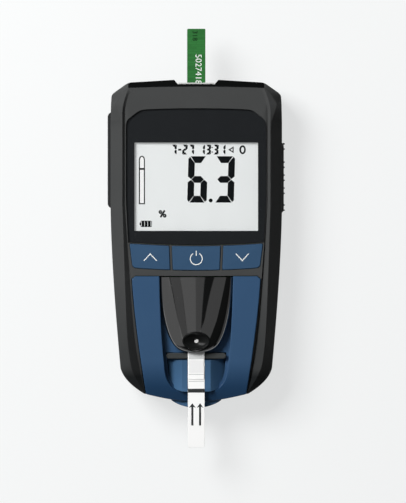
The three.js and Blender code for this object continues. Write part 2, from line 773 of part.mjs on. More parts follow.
// A pan-head screw whose head lies against headZ; way is 1 with its shank down, and -1 with it up
function screw([x, y], head, headThick, shank, length, headZ, way) {
  const profile = [[0, -length], [shank, 0.6 - length], [shank, 0], [head, 0], [head, headThick * 0.4],
    [head * 0.6, headThick], [0, headThick]];
  return turned(profile, 12).rotateX(way * Math.PI / 2).translate(x, y, headZ);
}

function caseScrew(spot) {
  return screw(spot, screwHeadRadius, screwHeadThick, screwRadius, screwTopZ - screwHeadZ, screwHeadZ, -1);
}

function boardScrew(spot) {
  return screw(spot, boardScrewHead, boardScrewHeadThick, boardScrewRadius, boardScrewLength, boardTopZ, 1);
}

// Lower panel, hood, funnel and strip holder
function lowerPanel() {
  const form = upperForm();
  const plan = prism(panelOutline(), panelSkirtZ, beyond);
  const strippedEnd = centredBlock(beyond, caseBottomY - 9, cornerY + 1.5, 0, beyond);
  const plate = meet(form, plan, aboveFace(panelThick));
  const skirt = meet(form, plan, cut(strippedEnd, insideCase(panelThick)));
  const pocketSides = meet(cut(prism(grow(pocketOutline(), pocketWall), ledgeTopZ - 1, beyond),
    aboveFace(panelThick / 2)), plan, insideCase(panelThick));
  const pocket = prism(pocketOutline(), ledgeTopZ, beyond);
  const shaft = prism(grow(pocketOutline(), -ledgeWidth), 0, beyond);
  const holderRoom = meet(prism(pocketOutline(), 0, beyond),
    centredBlock(beyond, caseBottomY - 5, hoodNoseY + 0.9, 0, beyond));
  return cut(join(plate, skirt, pocketSides), pocket, shaft, holderRoom);
}

function opticsHood() {
  const opticsRoom = centredBlock(opticsHalfWidth + hoodWall, opticsBottomY - 0.5, opticsTopY + 3, 0,
    faceZ - 0.5);
  const stripSlot = centredBlock(stripWidth / 2 + 0.5, hoodNoseY - 1, stripInnerY - 2, 0, stripTopZ + 0.4);
  const funnelSeat = ovalPost(funnelRx + keySeam, funnelRy + keySeam, funnelY, 0, beyond);
  return cut(hoodForm(), opticsRoom, stripSlot, funnelSeat);
}

function sampleFunnel() {
  const baseZ = stripTopZ + 0.5;
  const plug = meet(ovalPost(funnelRx, funnelRy, funnelY, baseZ, beyond), hoodForm());
  return cut(plug, funnelBowl(baseZ));
}

// The saddle under the strip: flat on top, rounded down to the pocket's floor on both sides
function holderSaddle() {
  const slope = stepsBetween(0, Math.PI / 2, 5).map((angle) => [
    lerp(bossHalfWidth, bossReach, Math.sin(angle)), lerp(bossRimZ, bossTopZ, Math.cos(angle))]);
  const rings = [hoodNoseY - seam, pocketBottomY - 2]
    .map((y) => ringAt(y, [...slope, [bossReach, plateZ + plateThick / 2]]));
  return meet(loft(rings), prism(grow(pocketOutline(), -seam), 0, beyond));
}

function stripHolder() {
  const lip = new THREE.Path();
  lip.moveTo(lipHalfWidth, hoodNoseY - seam);
  lip.lineTo(lipHalfWidth, caseBottomY + 0.5);
  lip.quadraticCurveTo(lipHalfWidth - 4, lipY + 0.6, 0, lipY);
  const plate = prism(mirrored(samples(lip, 6)), plateZ, plateZ + plateThick);
  const legs = bothSides.map((side) => post([side * legX, legY], legRadius, floorTopZ, plateZ + 0.5, 14));
  const channel = centredBlock(stripWidth / 2 + slideGap, lipY - 9, hoodNoseY + 3, stripZ - slideGap, beyond);
  const barSlot = centredBlock(bossReach + 1, barY - barWidth / 2 - seam, barY + barWidth / 2 + seam,
    barZ - seam, beyond);
  return cut(join(plate, holderSaddle(), ...legs), channel, barSlot);
}

function holderBar() {
  const end = barWidth / 2;
  const path = new THREE.Path();
  path.moveTo(0, barY + end);
  path.lineTo(barHalfLength - end, barY + end);
  path.absarc(barHalfLength - end, barY, end, Math.PI / 2, -Math.PI / 2, true);
  path.lineTo(0, barY - end);
  return prism(mirrored(samples(path, 10)), barZ, barTopZ);
}

// A carrier with two raised stretches, for the reaction pads and for the print
function testStrip() {
  const half = stripWidth / 2;
  const carrier = centredBlock(half, stripOuterY, stripInnerY, stripZ, stripZ + stripThick * 0.6);
  const raised = [[0.6, 19], [21, 27]].map(([from, to]) => centredBlock(half - 0.2, stripInnerY - to,
    stripInnerY - from, stripZ + 0.2, stripTopZ));
  return join(carrier, ...raised);
}

// Display
function displayLens() {
  return prism(lensOutline(), gasketZ + gasketThick, faceZ);
}

function lensGasket() {
  const view = centredBlock(windowHalfWidth, windowBottomY, windowTopY, 0, beyond);
  return cut(prism(grow(lensOutline(), -0.2), gasketZ, gasketZ + gasketThick), view);
}

function displayGlass() {
  return centredBlock(glassHalfWidth, glassBottomY, glassTopY, glassZ, glassTopZ);
}

function lightGuide() {
  const plate = centredBlock(glassHalfWidth - 0.2, glassBottomY + 3.6, glassTopY - seam,
    glassZ - guideThick, glassZ);
  const legs = fourPlaces([glassHalfWidth - 3, glassTopY - 4.2], [glassHalfWidth - 3, glassBottomY + 6.2])
    .map((spot) => post(spot, 1.6, boardTopZ, glassZ - 1, 12));
  return join(plate, ...legs);
}

function zebraStrip() {
  return centredBlock(glassHalfWidth - 3, glassBottomY + 0.8, glassBottomY + 3.2, boardTopZ, glassZ);
}

// A key: its cap, a flange that keeps it under the face, and a stem down to its dome
function key(outline, centre) {
  const flangeTopZ = faceZ - faceWall - seam;
  const cap = prism(outline, flangeTopZ, faceZ + keyProud);
  const flange = prism(grow(outline, keyFlange), flangeTopZ - keyFlangeThick, flangeTopZ);
  const stem = post(centre, keyStemRadius, domeTopZ + keyTravel + 0.1, flangeTopZ - keyFlangeThick / 2, 16);
  return join(cap, flange, stem);
}

function keyMat() {
  const sheet = centredBlock(matHalfWidth, keyRowBottomY - 1, keyRowTopY + 0.5, matSheetZ, matSheetZ + 1);
  const domes = keyCentres.map(([x, y]) => {
    const height = domeTopZ - matSheetZ - 0.5;
    const dome = new THREE.CylinderGeometry(domeRadius - 1.4, domeRadius, height, 18).rotateX(Math.PI / 2);
    return dome.translate(x, y, domeTopZ - height / 2);
  });
  const rooms = keyCentres.map((centre) => post(centre, domeRadius - 1.2, 0, matSheetZ + 0.6, 14));
  return cut(join(sheet, ...domes), ...rooms);
}

function matFrame() {
  const plate = centredBlock(matHalfWidth, keyRowBottomY - 1, keyRowTopY + 0.5, boardTopZ, matSheetZ);
  return cut(plate, ...keyCentres.map((centre) => post(centre, domeRadius + 0.6, 0, beyond, 16)));
}

function switchDome(centre) {
  return post(centre, 2, boardTopZ, boardTopZ + 0.5, 14);
}

// Main board and its parts
function mainBoard() {
  const plate = centredBlock(boardHalfWidth, boardBottomY, boardTopY, boardZ, boardTopZ);
  const besideScrews = screwPlaces.map((spot) => post(spot, bossRadius + 0.6, 0, beyond));
  const screwHoles = postPlaces.map((spot) => post(spot, boardScrewRadius + 0.4, 0, beyond, 12));
  const corners = bothSides.map((side) => sideBlock(side, boardHalfWidth - boardCorner, beyond,
    boardBottomY - 1, boardBottomY + 3, 0, beyond));
  return cut(plate, ...besideScrews, ...screwHoles, ...corners);
}

function opticsBlock() {
  const body = centredBlock(opticsHalfWidth, opticsBottomY, opticsTopY, boardTopZ, stripZ - seam);
  const wells = readingYs.map((y) => post([0, y], readingRadius + seam, readingZ, beyond, 16));
  const lampRoom = centredBlock(opticsHalfWidth - 2, lampY - 2, lampY + 2, 0, boardTopZ + 2.4);
  return cut(body, ...wells, lampRoom);
}

function readingLens(y) {
  return post([0, y], readingRadius, readingZ, readingZ + readingThick, 14);
}

function lampBar() {
  const bar = centredBlock(lampPitch + 1.2, lampY - 1.2, lampY + 1.2, boardTopZ, boardTopZ + 0.6);
  const half = lampSide / 2;
  const lamps = [-lampPitch, 0, lampPitch].map((x) => block(x - half, x + half, lampY - half, lampY + half,
    boardTopZ, boardTopZ + 1.6));
  return join(bar, ...lamps);
}

function processor() {
  const [x, y, half] = [processorX, processorY, processorHalfSide];
  const body = block(x - half, x + half, y - half, y + half, boardTopZ, boardTopZ + 1.3);
  const legs = stepsBetween(x - half + 1, x + half - 1, processorLegs - 1)
    .map((at) => block(at - 0.35, at + 0.35, y - half - 0.8, y + half + 0.8, boardTopZ, boardTopZ + 0.5));
  return join(body, ...legs);
}

function beeper() {
  const topZ = boardTopZ + beeperThick;
  return cut(post(beeperSpot, beeperRadius, boardTopZ, topZ, 24), post(beeperSpot, 1, topZ - 1, beyond, 12));
}

// Code chip and its socket
function chipSocket() {
  const body = centredBlock(chipWidth / 2 + socketWall, chipInnerY - socketWall, socketTopY, boardTopZ,
    chipZ + chipThick + 1);
  const slot = centredBlock(chipWidth / 2 + slideGap, chipInnerY - slideGap, notchY, chipZ - slideGap,
    chipZ + chipThick + slideGap);
  const combRoom = centredBlock(combHalfWidth + 0.2, chipInnerY + 0.8, notchY, chipZ - 1.2, chipZ);
  return cut(body, slot, combRoom);
}

function contactComb() {
  const bar = centredBlock(combHalfWidth, chipInnerY + 1, chipInnerY + 2.4, chipZ - 1.2, chipZ - 0.5);
  const teeth = stepsBetween(0.8 - combHalfWidth, combHalfWidth - 0.8, 3)
    .map((x) => block(x - 0.3, x + 0.3, chipInnerY + 1, socketTopY - 1, chipZ - 0.9, chipZ - 0.3));
  return join(bar, ...teeth);
}

function codeChip() {
  const [x, y0, y1, c] = [chipWidth / 2, chipInnerY, chipInnerY + chipLength, chipCorner];
  return prism(mirrored([[x - c, y1], [x, y1 - c], [x, y0 + c], [x - c, y0]]), chipZ, chipZ + chipThick);
}

function chipMemory() {
  const y = chipInnerY + chipLength / 2;
  return centredBlock(memoryHalfWidth, y, y + memoryLength, chipZ - memoryThick, chipZ);
}

// Each cell stands the other way round from its neighbour; the first points its tip to the strip end
function batteryCell(i) {
  const profile = [[0, 0], [cellRadius, 0], [cellRadius, cellLength - cellTip],
    [cellTipRadius, cellLength - cellTip], [cellTipRadius, cellLength], [0, cellLength]];
  const cell = turned(profile, 16);
  const tipDown = i % 2 === 0;
  const baseY = tipDown ? bayBottomY + plateRoom + cellLength : bayTopY - plateRoom - cellLength;
  return cell.rotateX(tipDown ? Math.PI : 0).translate(cellXs[i], baseY, cellZ);
}

// A pressed sheet at one end of the bay, with a coil for one cell, a bump for another, or both
function batteryContact(atTop, coilCell, bumpCell) {
  const wallY = atTop ? bayTopY : bayBottomY;
  const inward = atTop ? -1 : 1;
  const stub = (cell, reach, root, end) => new THREE.CylinderGeometry(end, root, reach, 14)
    .rotateX(atTop ? Math.PI : 0).translate(cellXs[cell], wallY + inward * reach / 2, cellZ);
  const stubs = [];
  if (coilCell !== null) stubs.push(stub(coilCell, springRoom - seam, 3.4, 2));
  if (bumpCell !== null) stubs.push(stub(bumpCell, plateRoom - seam, 2.8, 2));
  const held = [coilCell, bumpCell].filter((cell) => cell !== null).map((cell) => cellXs[cell]);
  const faceY = wallY + inward * contactThick;
  const sheet = block(Math.min(...held) - 3.8, Math.max(...held) + 3.8, Math.min(wallY, faceY),
    Math.max(wallY, faceY), cellZ - 4, cellZ + 4);
  return join(sheet, ...stubs);
}

// Materials
function plastic(color, roughness) {
  return new THREE.MeshStandardMaterial({ color, roughness, metalness: 0 });
}

function metal(color) {
  return new THREE.MeshStandardMaterial({ color, roughness: 0.3, metalness: 1 });
}

const charcoal = plastic(0x484848, 0.45);
const rearCharcoal = plastic(0x303132, 0.55);
const blackGloss = plastic(0x141515, 0.15);
const blue = plastic(0x385573, 0.4);
const displayGrey = plastic(0xe1e3e3, 0.35);
const white = plastic(0xf4f4f2, 0.5);
const rubber = plastic(0x232425, 0.85);
const boardGreen = plastic(0x316e38, 0.45);
const silicone = plastic(0x8d9299, 0.8);
const cellWrap = plastic(0x3b3f44, 0.4);
const barGrey = plastic(0x3c3e3e, 0.5);
const steel = metal(0xb4b6b8);
const gold = metal(0xc9a456);
const clear = plastic(0xf2f5f5, 0.05);
clear.transparent = true;
clear.opacity = 0.3;

const analyzer = new THREE.Group();

function place(name, geometry, material) {
  geometry.computeVertexNormals();
  const mesh = new THREE.Mesh(geometry, material);
  mesh.name = name;
  analyzer.add(mesh);
}

place('front_case', frontCase(), charcoal);
place('rear_case', rearCase(), rearCharcoal);
place('left_grip', plainGrip(), rubber);
place('right_grip', ribbedGrip(), rubber);
footPlaces.forEach((spot, i) => place(`rubber_foot_${i + 1}`, rubberFoot(spot), rubber));
screwPlaces.forEach((spot, i) => place(`case_screw_${i + 1}`, caseScrew(spot), steel));

place('lower_panel', lowerPanel(), blue);
place('optics_hood', opticsHood(), blackGloss);
place('sample_funnel', sampleFunnel(), blackGloss);
place('strip_holder', stripHolder(), blue);
place('holder_bar', holderBar(), barGrey);
place('test_strip', testStrip(), white);

place('display_lens', displayLens(), clear);
place('lens_gasket', lensGasket(), blackGloss);
place('display_glass', displayGlass(), displayGrey);
place('light_guide', lightGuide(), white);
place('zebra_strip', zebraStrip(), silicone);

['up_key', 'power_key', 'down_key'].forEach((name, i) => {
  place(name, key(keyOutlines[i], keyCentres[i]), blue);
  place(`switch_dome_${i + 1}`, switchDome(keyCentres[i]), steel);
});
place('key_mat', keyMat(), silicone);
place('mat_frame', matFrame(), barGrey);

place('main_board', mainBoard(), boardGreen);
postPlaces.forEach((spot, i) => place(`board_screw_${i + 1}`, boardScrew(spot), steel));
place('optics_block', opticsBlock(), barGrey);
readingYs.forEach((y, i) => place(`reading_lens_${i + 1}`, readingLens(y), clear));
place('lamp_bar', lampBar(), white);
place('processor', processor(), blackGloss);
place('beeper', beeper(), blackGloss);

place('chip_socket', chipSocket(), rearCharcoal);
place('contact_comb', contactComb(), gold);
place('code_chip', codeChip(), boardGreen);
place('chip_memory', chipMemory(), blackGloss);

cellXs.forEach((x, i) => place(`battery_${i + 1}`, batteryCell(i), cellWrap));
place('contact_link_1', batteryContact(true, 0, 1), steel);
place('contact_link_2', batteryContact(true, 2, 3), steel);
place('contact_link_3', batteryContact(false, 1, 2), steel);
place('positive_contact', batteryContact(false, null, 0), steel);
place('negative_contact', batteryContact(false, 3, null), steel);
place('battery_door', batteryDoor(), rearCharcoal);

export default analyzer;
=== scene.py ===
"""Looks of the handheld blood analyzer: every visible piece is a surface worked out in numpy.

Lengths here are in millimetres, and mesh_of() turns them into metres. The meter lies on its back in the
frame's own place: +Z points out of the display and +Y runs from the test strip to the code chip."""

import bmesh
import bpy
import numpy as np
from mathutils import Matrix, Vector


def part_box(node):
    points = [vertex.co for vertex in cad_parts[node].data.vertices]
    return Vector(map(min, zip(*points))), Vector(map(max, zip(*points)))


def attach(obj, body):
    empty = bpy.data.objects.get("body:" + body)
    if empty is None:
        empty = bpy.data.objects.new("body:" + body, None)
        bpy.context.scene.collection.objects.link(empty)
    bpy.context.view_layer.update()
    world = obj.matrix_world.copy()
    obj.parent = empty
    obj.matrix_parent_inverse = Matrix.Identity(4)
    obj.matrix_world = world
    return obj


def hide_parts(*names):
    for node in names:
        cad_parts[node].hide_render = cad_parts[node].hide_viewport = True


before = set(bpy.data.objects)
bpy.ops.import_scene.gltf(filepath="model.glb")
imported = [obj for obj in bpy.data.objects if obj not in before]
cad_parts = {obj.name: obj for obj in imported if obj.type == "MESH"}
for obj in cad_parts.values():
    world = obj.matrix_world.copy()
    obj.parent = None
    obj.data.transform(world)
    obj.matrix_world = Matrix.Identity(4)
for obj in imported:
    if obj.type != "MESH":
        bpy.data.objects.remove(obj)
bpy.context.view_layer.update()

MM = 0.001


def corners(node):
    """Lowest and highest corner of a CAD node, in millimetres."""
    low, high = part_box(node)
    return np.array(low) / MM, np.array(high) / MM


def middle_of(node):
    low, high = corners(node)
    return (low + high) / 2


# Sizes read from the frame
(_, CASE_BOTTOM, PARTING), (CASE_X, _, CREST) = corners("front_case")
(_, _, LENS_UNDER), (LENS_X, LENS_TOP, FACE) = corners("display_lens")
(_, GLASS_BOTTOM, _), (GLASS_X, GLASS_TOP, GLASS_Z) = corners("display_glass")
(_, STRIP_OUTER, STRIP_Z), (STRIP_X, STRIP_INNER, STRIP_TOP) = corners("test_strip")
(_, CHIP_INNER, CHIP_Z), (CHIP_X, CHIP_OUTER, CHIP_TOP) = corners("code_chip")
(_, _, LEDGE_Z), (HOOD_X, HOOD_TOP, HOOD_PEAK) = corners("optics_hood")
(_, _, FOOT), (DOOR_X, DOOR_TOP, _) = corners("battery_door")

# Named sizes that the boxes don't give
ABOVE, BELOW = 40, -1
RIM = FACE - 6
LENS_GAP = 0.15
WINDOW_X, WINDOW_TOP, WINDOW_BOTTOM = GLASS_X - 2.2, GLASS_TOP - 2.2, GLASS_BOTTOM + 2.2
KEY_ROW_TOP = WINDOW_BOTTOM - 7.1
KEY_ROW_BOTTOM = KEY_ROW_TOP - 11
KEY_ROW_X = LENS_X - 1.6
KEY_ROW_FOOT_X = KEY_ROW_X - 1.1
KEY_SEAM = 0.2
KEY_RIB = 1.25
PANEL_TOP = KEY_ROW_BOTTOM - 2.8
PANEL_X = KEY_ROW_FOOT_X + 0.1
PANEL_FOOT_X = PANEL_X - 6.5
PANEL_SKIRT = RIM - 1.8
SEAM = 0.3
END_Z = PANEL_SKIRT - SEAM
STEP_X = PANEL_FOOT_X + 0.2
NOSE_Y = HOOD_TOP - 34.5
HOOD_PEAK_Y = NOSE_Y + 14.5
POCKET_X = HOOD_X + SEAM
POCKET_FOOT_X = POCKET_X - 2.9
CREST_X, RAIL_DRAW = LENS_X + 1.8, 4.1
HEAD_Y = LENS_TOP + 9.8
HEEL_CREST_Y = NOSE_Y - 6.7
SHOULDER_X, SHOULDER_Y = CASE_X - 8.2, HEAD_Y + 2.4
HEAD_X = SHOULDER_X - 0.2
CHAMFER_X, CHAMFER_Y = CASE_X - 0.5, SHOULDER_Y - 5.5
FACET_Y = HEAD_Y - 7.7
SIDE_TOP_Y = FACET_Y - 3.5
SIDE_START_Y = FACET_Y - 8.6
SIDE_ARC_Y = WINDOW_BOTTOM + 11.9
LENS_BEND_Y = SIDE_ARC_Y + 2.3
HEEL_Y = HEEL_CREST_Y - 0.6
CORNER_X = CREST_X - RAIL_DRAW - 5.8
CORNER_Y = HEEL_Y - 11.8
POCKET_BOTTOM = CORNER_Y + 0.9
NOTCH_X, NOTCH_Y = CHIP_X * 2, SHOULDER_Y - 0.9
MOUTH_X, MOUTH_Y = NOTCH_X + 1.8, SHOULDER_Y + 1.26
PLATE_Z, LIP_X, LIP_THICK = PARTING + 2.6, 11.5, 1.4
FUNNEL_Y, FUNNEL_RX, FUNNEL_RY = NOSE_Y + 5.2, 6.2, 4.1


# Surfaces

def grid_faces(points, wrap_rows=False, wrap_columns=False, cap_rows=False, cap_columns=False):
    """A grid of points (rows, columns, 3) as points and faces: each face joins two neighbours in a row with
    the two in the next row; wrapping joins the last to the first, and a cap closes an end with one flat
    face."""
    rows, columns = points.shape[:2]
    whole = np.arange(rows * columns).reshape(rows, columns)
    index = np.concatenate([whole, whole[:1]]) if wrap_rows else whole
    index = np.concatenate([index, index[:, :1]], axis=1) if wrap_columns else index
    quads = np.stack([index[:-1, :-1], index[1:, :-1], index[1:, 1:], index[:-1, 1:]], axis=-1)
    faces = quads.reshape(-1, 4).tolist()
    if cap_rows:
        faces += [whole[0].tolist(), whole[-1][::-1].tolist()]
    if cap_columns:
        faces += [whole[:, 0][::-1].tolist(), whole[:, -1].tolist()]
    return points.reshape(-1, 3), faces


def lofted(rows):
    """A closed skin through rings of points, with flat ends."""
    return grid_faces(np.stack(rows), wrap_columns=True, cap_rows=True)


def at_height(line, z):
    return np.column_stack([line, np.broadcast_to(z, len(line))])


def moved(surface, offset):
    return surface[0] + np.asarray(offset, float), surface[1]


def mirrored_surface(surface):
    """The surface on the other side of the middle, with its faces turned over."""
    return surface[0] * [-1, 1, 1], [face[::-1] for face in surface[1]]


def mesh_of(name, surfaces, sharp=35):
    """One mesh from several closed surfaces, doubles merged and faces turned outwards."""
    starts = np.cumsum([0] + [len(points) for points, _ in surfaces])
    faces = [[i + start for i in face] for (_, part), start in zip(surfaces, starts) for face in part]
    mesh = bpy.data.meshes.new(name)
    mesh.from_pydata(np.vstack([points for points, _ in surfaces]) * MM, [], faces)
    work = bmesh.new()
    work.from_mesh(mesh)
    bmesh.ops.remove_doubles(work, verts=work.verts, dist=1e-6)
    bmesh.ops.dissolve_degenerate(work, edges=work.edges, dist=1e-7)
    bmesh.ops.recalc_face_normals(work, faces=work.faces)
    work.to_mesh(mesh)
    work.free()
    smooth(mesh, sharp)
    return mesh


def smooth(mesh, sharp):
    mesh.shade_smooth()
    mesh.set_sharp_from_angle(angle=np.radians(sharp))


def piece(name, surfaces, finish, body="meter", stands_for=(), sharp=35):
    """A finished piece: its mesh in place, its finish, the body that it rides on and the nodes it stands
    for."""
    made = bpy.data.objects.new(name, mesh_of(name, surfaces, sharp))
    bpy.context.scene.collection.objects.link(made)
    made.data.materials.append(finish)
    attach(made, body)
    if stands_for:
        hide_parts(*stands_for)
    return made


def carve(target, operation, *tools, sharp=35):
    """Cuts each tool out of a piece, or joins it on, and keeps the result as its mesh. A tool is a list of
    closed surfaces that stay clear of each other."""
    for surfaces in tools:
        tool = bpy.data.objects.new("tool", mesh_of("tool", surfaces))
        bpy.context.scene.collection.objects.link(tool)
        step = target.modifiers.new("carve", "BOOLEAN")
        step.operation, step.solver, step.object = operation, "EXACT", tool
        shape = target.evaluated_get(bpy.context.evaluated_depsgraph_get())
        result = bpy.data.meshes.new_from_object(shape)
        target.modifiers.clear()
        target.data = result
        bpy.data.objects.remove(tool)
    work = bmesh.new()
    work.from_mesh(target.data)
    bmesh.ops.remove_doubles(work, verts=work.verts, dist=1e-6)
    bmesh.ops.dissolve_degenerate(work, edges=work.edges, dist=1e-7)
    work.to_mesh(target.data)
    work.free()
    smooth(target.data, sharp)
    return target


def clamp(values, low=0.0, high=1.0):
    return np.clip(values, low, high)


def lerp(a, b, share):
    return a + (b - a) * share


def straight(knots, counts):
    """Straight legs between knots, each cut into its own number of even steps."""
    knots = np.asarray(knots, float)
    legs = [a + (b - a) * np.linspace(0, 1, n, endpoint=False)[:, None]
            for a, b, n in zip(knots, knots[1:], counts)]
    return np.vstack([*legs, knots[-1:]])


def bend(start, pull, end, count):
    """A quadratic curve from start to end, drawn towards pull."""
    start, pull, end = (np.asarray(p, float) for p in (start, pull, end))
    t = np.linspace(0, 1, count)[:, None]
    return (1 - t) ** 2 * start + 2 * t * (1 - t) * pull + t ** 2 * end


def along(line, lengths):
    """Points of a line at given shares of its length."""
    steps = np.linalg.norm(np.diff(line, axis=0), axis=1)
    reached = np.concatenate([[0], np.cumsum(steps)])
    return np.stack([np.interp(np.asarray(lengths) * reached[-1], reached, line[:, k])
                     for k in range(line.shape[1])], axis=-1)


def both_halves(right):
    """A closed outline from its right half, which may start and end on the middle line."""
    left = right[::-1] * ([-1, 1] if right.shape[-1] == 2 else [-1, 1, 1])
    off_middle = np.abs(left[:, 0] if right.ndim == 2 else left[:, 0, 0]) > 1e-6
    return np.concatenate([right, left[off_middle]])


def grown(outline, distance):
    """A closed outline moved outwards along the bisector of each corner; a negative distance moves it
    inwards."""
    ahead, behind = np.roll(outline, -1, axis=0), np.roll(outline, 1, axis=0)
    area = np.sum(outline[:, 0] * ahead[:, 1] - ahead[:, 0] * outline[:, 1])
    turn = np.sign(area) * np.array([1, -1])

    def outward(edge):
        return edge[:, ::-1] * turn / np.maximum(np.linalg.norm(edge, axis=1), 1e-9)[:, None]

    first, second = outward(outline - behind), outward(ahead - outline)
    middle = first + second
    middle /= np.maximum(np.linalg.norm(middle, axis=1), 1e-9)[:, None]
    reach = distance / np.maximum(np.sum(middle * second, axis=1), 0.5)
    return outline + middle * reach[:, None]


def fillet(sections, radii, steps=3):
    """Sections (stations, corners, 3) with each corner rounded: a quadratic curve between the points one
    radius before and after it, held by one more point on each side so that the flats stay flat."""
    back, on = np.roll(sections, 1, axis=1) - sections, np.roll(sections, -1, axis=1) - sections
    back_length = np.linalg.norm(back, axis=-1, keepdims=True)
    on_length = np.linalg.norm(on, axis=-1, keepdims=True)
    back, on = back / np.maximum(back_length, 1e-9), on / np.maximum(on_length, 1e-9)
    t = np.linspace(0, 1, steps + 1)[None, :, None]
    rows = []
    for k, radius in enumerate(radii):
        tip = sections[:, k, None]
        if radius == 0:
            rows.append(tip)
            continue
        room = np.minimum(back_length, on_length)[:, k, None]
        reach = np.minimum(radius, 0.42 * room)
        start, end = tip + back[:, k, None] * reach, tip + on[:, k, None] * reach
        curve = (1 - t) ** 2 * start + 2 * t * (1 - t) * tip + t ** 2 * end
        hold = np.minimum(reach * 1.3, 0.48 * room)
        before, after = tip + back[:, k, None] * hold, tip + on[:, k, None] * hold
        rows.append(np.concatenate([before, curve, after], axis=1))
    return np.concatenate(rows, axis=1)


def soften(sections, stations, reach=2):
    """Rounds a corner that runs across the sections: the stations beside it move onto a quadratic curve."""
    rounded = sections.copy()
    t = np.linspace(0, 1, 2 * reach + 1)[:, None, None]
    for at in stations:
        start, tip, end = sections[at - reach], sections[at], sections[at + reach]
        rounded[at - reach:at + reach + 1] = (1 - t) ** 2 * start + 2 * t * (1 - t) * tip + t ** 2 * end
    return rounded


def slab(outline, profile):
    """A closed skin round an outline: profile lists (inset, height) from the bottom to the top, and the
    ends are flat."""
    return lofted([at_height(grown(outline, -inset) if inset else outline, z) for inset, z in profile])


def rounded_slab(outline, low, high, radius=0.25, under=0.0):
    """A slab whose upper edge, and lower edge too if under is given, is rounded by a quarter turn."""
    turn = np.linspace(0, np.pi / 2, 5)
    top = [(radius * (1 - np.cos(a)), high - radius * (1 - np.sin(a))) for a in turn]
    foot = [(under * (1 - np.sin(a)), low + under * (1 - np.cos(a))) for a in turn] if under else [(0, low)]
    flat = [(under * 1.25, low)] if under else []
    return slab(outline, flat + foot + top + [(radius * 1.25, high)])


def crowned_slab(outline, low, high, radius, crown, rings=5):
    """A rounded slab whose top rises by the crown from its edge to its middle, along half a cosine."""
    centre = outline.mean(axis=0)
    points, _ = rounded_slab(outline, low, high - crown, radius)
    rows = list(points.reshape(-1, len(outline), 3))
    edge = rows[-1]
    for share in np.linspace(0, 1, rings + 1)[1:]:
        row = edge.copy()
        row[:, :2] = lerp(edge[:, :2], centre, share * 0.94)
        row[:, 2] += crown * (1 - np.cos(np.pi * share)) / 2
        rows.append(row)
    return lofted(rows)


def arc(centre, rx, ry, start, end, count):
    """Points of an oval between two angles, in degrees."""
    turn = np.radians(np.linspace(start, end, count))
    return np.column_stack([centre[0] + rx * np.cos(turn), centre[1] + ry * np.sin(turn)])


def oval(centre, rx, ry, sides=32):
    return arc(centre, rx, ry, 0, 360, sides + 1)[:-1]


def block(x0, x1, y0, y1, z0, z1):
    outline = np.array([[x0, y0], [x1, y0], [x1, y1], [x0, y1]], float)
    return slab(outline, [(0, z0), (0, z1)])


def rectangle(half, y0, y1, radius=0.0, steps=5):
    """A rectangle about the middle line, its corners rounded to quarter circles."""
    if not radius:
        return np.array([[-half, y0], [half, y0], [half, y1], [-half, y1]], float)
    x, low, high = half - radius, y0 + radius, y1 - radius
    return np.concatenate([arc(centre, radius, radius, start, start + 90, steps) for centre, start in
                           (((x, low), -90), ((x, high), 0), ((-x, high), 90), ((-x, low), 180))])


def turned(profile, centre=(0, 0, 0), sides=40, axis=2):
    """A profile of (radius, height) turned round an upright axis, or one along Y, through its centre."""
    profile = np.asarray(profile, float)
    angle = np.linspace(0, 2 * np.pi, sides, endpoint=False)
    x = profile[:, 0, None] * np.cos(angle)
    y = profile[:, 0, None] * np.sin(angle)
    z = np.repeat(profile[:, 1, None], sides, axis=1)
    points = np.stack([x, y, z], axis=-1) if axis == 2 else np.stack([x, z, -y], axis=-1)
    return grid_faces(points + np.asarray(centre, float), wrap_columns=True)


def tube(path, radius, sides=8):
    """A round wire: a circle carried along a path, square to it, with flat ends."""
    path = np.asarray(path, float)
    tangent = np.gradient(path, axis=0)
    tangent /= np.linalg.norm(tangent, axis=1)[:, None]
    across = np.cross(tangent, [0.03, 0.98, 0.19])
    across /= np.linalg.norm(across, axis=1)[:, None]
    up = np.cross(across, tangent)
    angle = np.linspace(0, 2 * np.pi, sides, endpoint=False)[None, :, None]
    ring = radius * (np.cos(angle) * across[:, None] + np.sin(angle) * up[:, None])
    return lofted(path[:, None] + ring)


def stroke(line, width):
    """Outline of a flat line of even width: each point moves half the width to either side, along the
    bisector of its two neighbouring steps."""
    line = np.asarray(line, float)
    step = np.diff(line, axis=0)
    side = step[:, ::-1] * [1, -1] / np.linalg.norm(step, axis=1)[:, None]
    mitre = np.vstack([side[:1], side]) + np.vstack([side, side[-1:]])
    mitre *= (width / np.sum(mitre ** 2, axis=1))[:, None]
    return np.concatenate([line + mitre, (line - mitre)[::-1]])


def print_on(outlines, z, thick=0.03):
    """Ink as thin flat plates that lie on a surface at height z."""
    return [slab(np.asarray(outline, float), [(0, z), (0, z + thick)]) for outline in outlines]


def numerals(text, height, turn=0.0):
    """Plain numerals as a flat plate, centred, turned about Z: points and faces from Blender's own font."""
    curve = bpy.data.curves.new("numerals", "FONT")
    curve.body, curve.size, curve.align_x, curve.align_y = text, height * 1.38, "CENTER", "CENTER"
    curve.extrude = 0.015
    carrier = bpy.data.objects.new("numerals", curve)
    bpy.context.scene.collection.objects.link(carrier)
    shape = carrier.evaluated_get(bpy.context.evaluated_depsgraph_get())
    flat = bpy.data.meshes.new_from_object(shape)
    points = np.empty(len(flat.vertices) * 3)
    flat.vertices.foreach_get("co", points)
    faces = [list(face.vertices) for face in flat.polygons]
    bpy.data.objects.remove(carrier)
    c, s = np.cos(turn), np.sin(turn)
    return points.reshape(-1, 3) @ np.array([[c, s, 0], [-s, c, 0], [0, 0, 1]]), faces


# Finishes

